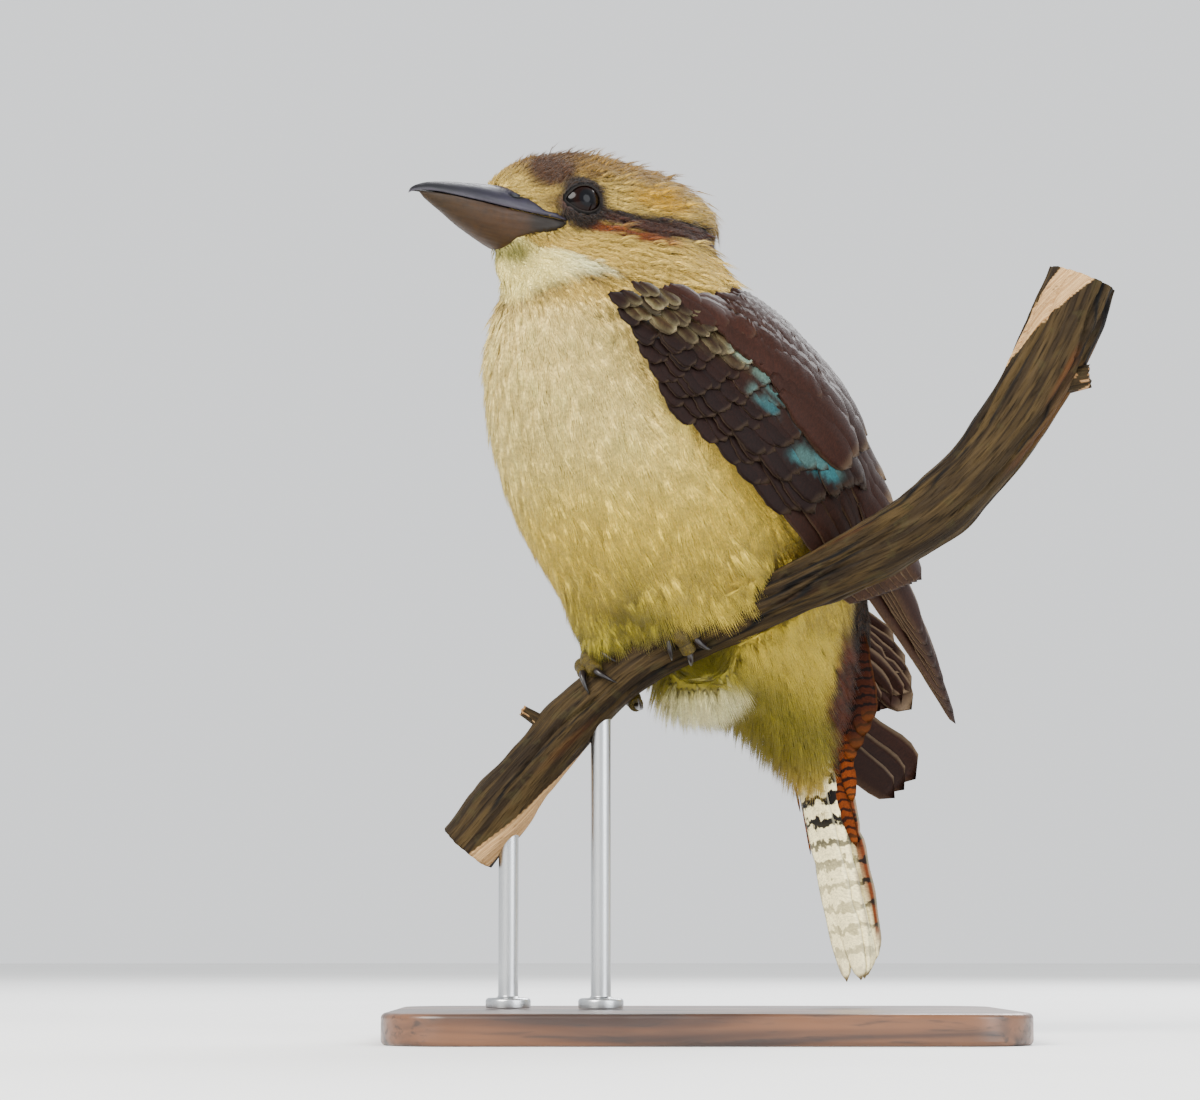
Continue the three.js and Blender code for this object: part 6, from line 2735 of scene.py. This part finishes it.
    def build(self, skin: Material, horn: Material) -> tuple[list[Object], list[Object]]:
        """Builds the foot.

        Args:
            skin: The finish of toes and shank.
            horn: The finish of the claws.

        Returns:
            The scaly pieces and the claws.
        """
        scaly = [
            self.scaled(f"toe_{self.name}_{i + 1}", self.toe_loft(toe), 72, 14 + 2 * toe.joints) for i,
            toe in enumerate(TOES)
        ]
        scaly.append(self.scaled(f"shank_{self.name}", self.shank_loft(), 60, 12))
        claws = []
        for i, toe in enumerate(TOES):
            loft = self.claw_loft(toe)
            piece = reshaped(
                f"claw_{self.name}_{i + 1}", ball(24, 40), lambda corners,
                loft=loft: loft.surface(*ball_shares(corners))
            )
            share = np.linspace(0, 1, 60)
            line = loft.axes(share)[0]
            near = np.argmin(np.linalg.norm(corners_of(piece)[:, None] - line[None], axis=2), axis=1)
            set_colours(piece.data, "Wear", np.column_stack([share[near], 0 * share[near], 0 * share[near]]))
            set_map(
                piece.data, "Lengthwise", np.column_stack([share[near] * 0.1, 0.01 * corners_of(piece)[:, 0]])
            )
            material_on(piece, horn)
            claws.append(piece)
        for piece in scaly:
            material_on(piece, skin)
        return scaly, claws


# ---- stand and studio


@dataclass(frozen=True)
class Stand:
    """The plain display stand: a wooden base with rounded corners, and two steel rods in collars."""

    size: tuple[float, float, float] = (244.0, 176.0, 12.0)
    corner: float = 26.0
    bevel: float = 2.0
    rods: tuple[float, ...] = (0.06, 0.2)
    rod_radius: float = 4.0
    collar_radius: float = 9.0
    collar_height: float = 4.0
    gap: float = 0.35

    def build_base(self) -> Object:
        """Builds the base.

        Returns:
            The piece.
        """
        shape = bmesh.new()
        bmesh.ops.create_cube(shape, size=1.0)
        bmesh.ops.scale(shape, verts=shape.verts[:], vec=np.array(self.size) * MM)
        bmesh.ops.translate(shape, verts=shape.verts[:], vec=(0, 0, self.size[2] / 2 * MM))
        uprights = [e for e in shape.edges if abs(e.verts[0].co.z - e.verts[1].co.z) > 1e-6]
        rounded(shape, uprights, self.corner, 16)
        rims = [
            e for e in shape.edges
            if abs(e.verts[0].co.z - e.verts[1].co.z) < 1e-6 and len(e.link_faces) == 2
            and abs(e.link_faces[0].normal.z - e.link_faces[1].normal.z) > 0.5
        ]
        rounded(shape, rims, self.bevel, 5)
        piece = finished("stand_plinth", shape)
        self.harden(piece)
        return piece

    @staticmethod
    def harden(piece: Object) -> None:
        """Keeps the shading of flat faces flat beside rounded edges."""
        sharp = piece.modifiers.new("weighted", "WEIGHTED_NORMAL")
        sharp.keep_sharp = True

    def build_rod(self, number: int, share: float) -> Object:
        """Builds one rod with its collar, its top flat under the branch.

        Args:
            number: The rod's number.
            share: Where on the branch it ends, 0 to 1.

        Returns:
            The piece.
        """
        x, y, top = Perch.line().axes(np.array([share]))[0][0]
        bottom = self.size[2] + self.gap
        high = bottom + self.collar_height
        radius, rod = self.collar_radius, self.rod_radius
        profile = [
            (0, bottom), (radius - 0.3, bottom), (radius, bottom + 0.3), (radius, high - 1.2),
            (radius - 0.35, high - 0.45), (radius - 1.1, high), (rod + 1.3, high), (rod + 0.4, high + 0.25),
            (rod, high + 0.9),
        ]
        profile += [(rod, high + 0.9 + (top - high - 0.9) * i / 12) for i in range(1, 13)] + [(0, top)]
        shape = bmesh.new()
        line = [shape.verts.new((r * MM, 0, z * MM)) for r, z in profile]
        edges = [shape.edges.new(pair) for pair in zip(line, line[1:])]
        spun(shape, line, edges, 48)
        bmesh.ops.remove_doubles(shape, verts=shape.verts[:], dist=WELD)
        bmesh.ops.translate(shape, verts=shape.verts[:], vec=(x * MM, y * MM, 0))
        piece = finished(f"stand_post_{number}", shape)
        self.harden(piece)
        return piece


@dataclass(frozen=True)
class Studio:
    """The floor, the lights and the camera at the photograph's angle."""

    target: tuple[float, float, float] = (-0.040, 0.0, 0.194)
    distance: float = 1.3
    rise: float = 7.0  # degrees that the camera looks up
    lens: float = 97.5
    lights: tuple[tuple, ...] = (  # name, place, width in metres, watts and tint
        ("key", (-1.3, -1.7, 1.5), 1.5, 138.0, (1.0, 0.97, 0.92)),
        ("fill", (1.5, -1.5, 0.8), 1.8, 50.0, (0.94, 0.97, 1.0)),
        ("back", (0.7, 1.5, 1.6), 1.4, 72.0, (0.97, 0.98, 1.0)),
    )
    sky: Colour = (0.92, 0.94, 0.96)
    sky_strength: float = 1.3

    def build_floor(self) -> None:
        """Builds the pale floor."""
        shape = bmesh.new()
        bmesh.ops.create_circle(shape, cap_ends=True, segments=96, radius=7.0)
        mesh = bpy.data.meshes.new("floor")
        shape.to_mesh(mesh)
        shape.free()
        floor = link_mesh("floor", mesh)
        made, w = new_material("pale floor")
        place_of = w.place()
        colour = w.blend(
            w.stretch(w.noise(place_of, 3.0, 4.0), 0.3, 0.7), (0.80, 0.80, 0.79), (0.83, 0.83, 0.82)
        )
        w.surface(base_color=colour, roughness=0.9)
        material_on(floor, made)

    def build_light(self, name: str, spot: Sequence[float], size: float, power: float, tint: Colour) -> None:
        """Adds one soft light that faces the bird.

        Args:
            name: Its name.
            spot: Where it stands, in metres.
            size: Its width.
            power: Its power in watts.
            tint: Its colour.
        """
        data = bpy.data.lights.new(name, "AREA")
        data.shape, data.size, data.energy, data.color = "DISK", size, power, tint
        lamp = bpy.data.objects.new(name, data)
        lamp.location = spot
        lamp.rotation_euler = (Vector(self.target) - Vector(spot)).to_track_quat("-Z", "Y").to_euler()
        bpy.context.scene.collection.objects.link(lamp)

    def build(self) -> None:
        """Builds it all."""
        self.build_floor()
        for light in self.lights:
            self.build_light(*light)
        world = bpy.data.worlds.new("studio")
        world.use_nodes = True
        sky = world.node_tree.nodes["Background"].inputs
        sky[0].default_value, sky[1].default_value = (*self.sky, 1.0), self.sky_strength
        bpy.context.scene.world = world
        rise = math.radians(self.rise)
        spot = Vector(self.target) - self.distance * Vector((0, math.cos(rise), math.sin(rise)))
        data = bpy.data.cameras.new("camera")
        data.lens, data.sensor_width, data.sensor_fit = self.lens, 36.0, "HORIZONTAL"
        data.clip_start, data.clip_end = 0.05, 40.0
        camera = bpy.data.objects.new("camera", data)
        camera.location = spot
        camera.rotation_euler = (Vector(self.target) - spot).to_track_quat("-Z", "Y").to_euler()
        bpy.context.scene.collection.objects.link(camera)
        bpy.context.scene.camera = camera


# ---- the bird, put together


def tree_of(piece: Object) -> BVHTree:
    """Gives a search tree of a piece in millimetres."""
    mesh = piece.data
    return BVHTree.FromPolygons(corners_of(piece).tolist(), [list(face.vertices) for face in mesh.polygons])


def on_body(points: Points) -> Points:
    """Tells where the body's feathers grow: all but the head and what only the belly's fluff covers."""
    return (Markings.on_head(points) < 0.5) & ~on_vent(points)


def on_vent(points: Points) -> Points:
    """Tells where the long loose fluff grows: under the belly, on the thighs and below the tail's root."""
    _, bird = Markings.sides(points)
    return (
        bird[:, 2] < 26 - 0.3 * bird[:, 0]
    ) & (Markings.dorsal(points) < 0.35) & (Markings.on_head(points) < 0.5)


def on_face(points: Points) -> Points:
    """Tells where the shortest feathers grow: round the bill and the eyes.

    Args:
        points: Places in the scene, in millimetres.

    Returns:
        Whether each is there.
    """
    head, _ = Markings.sides(points)
    near = (head[:, 0] > 30) | (Markings.eye_distance(points) < 15)
    return (Markings.on_head(points) >= 0.5) & near & off_bill(head)


def on_crown(points: Points) -> Points:
    """Tells where the rest of the head's feathers grow.

    Args:
        points: Places in the scene, in millimetres.

    Returns:
        Whether each is there.
    """
    head, _ = Markings.sides(points)
    return (Markings.on_head(points) >= 0.5) & ~(
        (head[:, 0] > 30) | (Markings.eye_distance(points) < 15)
    ) & off_bill(head)


def off_bill(head: Points) -> Points:
    """Tells which places of the head's frame are off the bare bill and outside the lids' rims.

    Args:
        head: Places in the head's frame.

    Returns:
        Whether each is there.
    """
    eye = Eye(1, "")
    x, y, z = ((head - eye.middle) @ eye.frame().T).T
    open_lids = (z > 0) & (np.hypot(x, y) < eye.rim(x, y) + 1.3)
    return ~((Markings.past_bill_line(head) > -0.4) & (head[:, 2] > -24)) & ~open_lids


def head_length(points: Points) -> Points:
    """Gives the length of the head's feathers: short at the bill, longest at the nape.

    Args:
        points: Places in the scene, in millimetres.

    Returns:
        A length for each.
    """
    head, _ = Markings.sides(points)
    long = np.interp(head[:, 0], (-45, -24, 5, 26, 40, 56), (13.0, 11.0, 8.0, 6.0, 5.4, 4.4))
    return long * (1 - 0.5 * ease(15, 9, Markings.eye_distance(points))) + 3.0 * ease(-24, -44, head[:, 2])


def head_spacing(points: Points) -> Points:
    """Gives the spacing of the head's feathers."""
    head, _ = Markings.sides(points)
    return np.interp(head[:, 0], (-45, 10, 44), (1.75, 1.5, 1.15)) * (
        1 - 0.25 * ease(15, 9, Markings.eye_distance(points))
    )


TRACTS = (
    Tract(Growth.FACE, Quill(5, 0.5, 0.1, 0.17, 0.026), head_spacing, head_length, 1.0, 1.4, 0, on_face, 2, 11),
    Tract(
        Growth.CROWN, Quill(6, 0.5, 0.1, 0.18, 0.022), head_spacing, head_length, 1.0, 1.9, 0, on_crown, 3, 12
    ),
    Tract(
        Growth.BODY, Quill(15, 0.34, 0.06, 0.2, 0.013),
        lambda p: np.full(len(p), 2.1),
        lambda p: 13.0 + 3.0 * ease(110, 40, place_back(BIRD, p)[:, 2]),
        1.0, 1.0, 0, on_body, 6, 13,
    ),
    Tract(
        Growth.DOWN, Quill(15, 0.3, 0.06, 0.2, 0.0125),
        lambda p: np.full(len(p), 2.1),
        lambda p: np.interp(place_back(BIRD, p)[:, 2], (-60, -40, -12, 4, 26), (11, 13, 11, 12, 15)),
        1.0, 1.0, 0.8, on_vent, 3, 14,
    ),
)


def main() -> None:
    """Builds the model piece by piece and reports each one."""
    logging.basicConfig(level=logging.INFO, format="%(message)s", stream=sys.stdout)
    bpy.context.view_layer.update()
    build_groups()
    studio = Studio()
    studio.build()

    skin = Skin()
    dress(skin.build(), PlumageFinish("skin under feathers", on_skin=True).make(), "plumage_body", *skin.nodes)

    for half, node in ((UPPER_BILL, "bill_upper"), (LOWER_BILL, "bill_lower")):
        declare(half.build(), half.slot, node)
    eye_finish = EyeFinish().make()
    lid_finish = ScuteFinish("lid skin", paint(38, 31, 27), paint(8, 5, 4), 0.75).make()
    for side, name in ((1, "left"), (-1, "right")):
        eye = Eye(side, name)
        for piece, finish in ((eye.build_ball(), eye_finish), (eye.build_lids(), lid_finish)):
            dress(piece, finish, "eye", f"eye_{name}")

    wing_finish = PlumageFinish(
        "wing feathers", roughness=0.6, sheen=0.0, specular=0.1, rim_colour=paint(146, 124, 98)
    ).make()
    pieces = []
    for name, side, middle, along, primary_tips, secondary_tips in (
        ("left", 1, (-33, 60, 57), (-0.735, -0.035, -0.68), ((239, 8), (188, 6)), ((150, -16), (166, 12))),
        ("right", -1, (-45, 59, 45), (-0.73, -0.1, -0.68), ((247, -6), (250, 12)), ((200, -2), (226, 34))),
    ):
        wing = Wing(name, WingSheet(side, middle, along, (-0.12, 0.985, 0.12)), primary_tips, secondary_tips)
        if side < 0:
            tertials = ((231, 35), (226, 40), (218, 45), (208, 49))
            wing = replace(
                wing, primaries=3, primary_width=19.0, primary_blunt=8.0, tertials=tertials, rows=wing.rows[:8],
                shoulder=wing.shoulder[2:]
            )
        for piece in wing.build(wing_finish):
            declare(piece, "plumage_wing", f"wing_{name}")
            pieces.append(piece)
    tail_finish = PlumageFinish(
        "tail feathers", paint(14, 8, 4), paint(250, 240, 200), 9.0, 0.15, 0.3, sheen=0.0
    ).make()
    covert_finish = PlumageFinish(
        "tail coverts", paint(14, 8, 6), paint(150, 90, 36), 3.6, 0.1, 0.3, sheen=0.0, specular=0.1
    ).make()
    for piece in Tail().build(tail_finish, covert_finish):
        declare(piece, "plumage_tail", "tail")

    coat = Coat(skin, [tree_of(piece) for piece in pieces], PlumageFinish("small feathers").make())
    for tract in TRACTS:
        slot = "plumage_head" if tract.growth.on_head else "plumage_body"
        for piece in coat.grow(tract):
            declare(piece, slot)

    foot_skin = ScuteFinish("foot scales", paint(72, 60, 14), paint(15, 11, 3)).make()
    claw_horn = HornFinish(
        "claw horn", paint(30, 24, 24), paint(8, 6, 7), paint(48, 40, 36), paint(12, 9, 8), 0.34, 0.3
    ).make()
    for foot in (
        Foot("left", 1, 0.345, 0, (-14, 16, 30)),
        Foot("right", -1, 0.22, -62, (-4, -15, 20)),
    ):
        scaly, claws = foot.build(foot_skin, claw_horn)
        for piece in scaly + claws:
            declare(piece, "foot", f"foot_{foot.name}")

    dress(Perch().build(), BarkFinish().make(), "bark", "perch")
    stand = Stand()
    dress(stand.build_base(), StandWoodFinish().make(), "stand_wood", "stand_base")
    steel = SteelFinish().make()
    for number, share in enumerate(stand.rods, 1):
        dress(stand.build_rod(number, share), steel, "stand_steel", f"stand_rod_{number}")


if __name__ == "__main__":
    main()
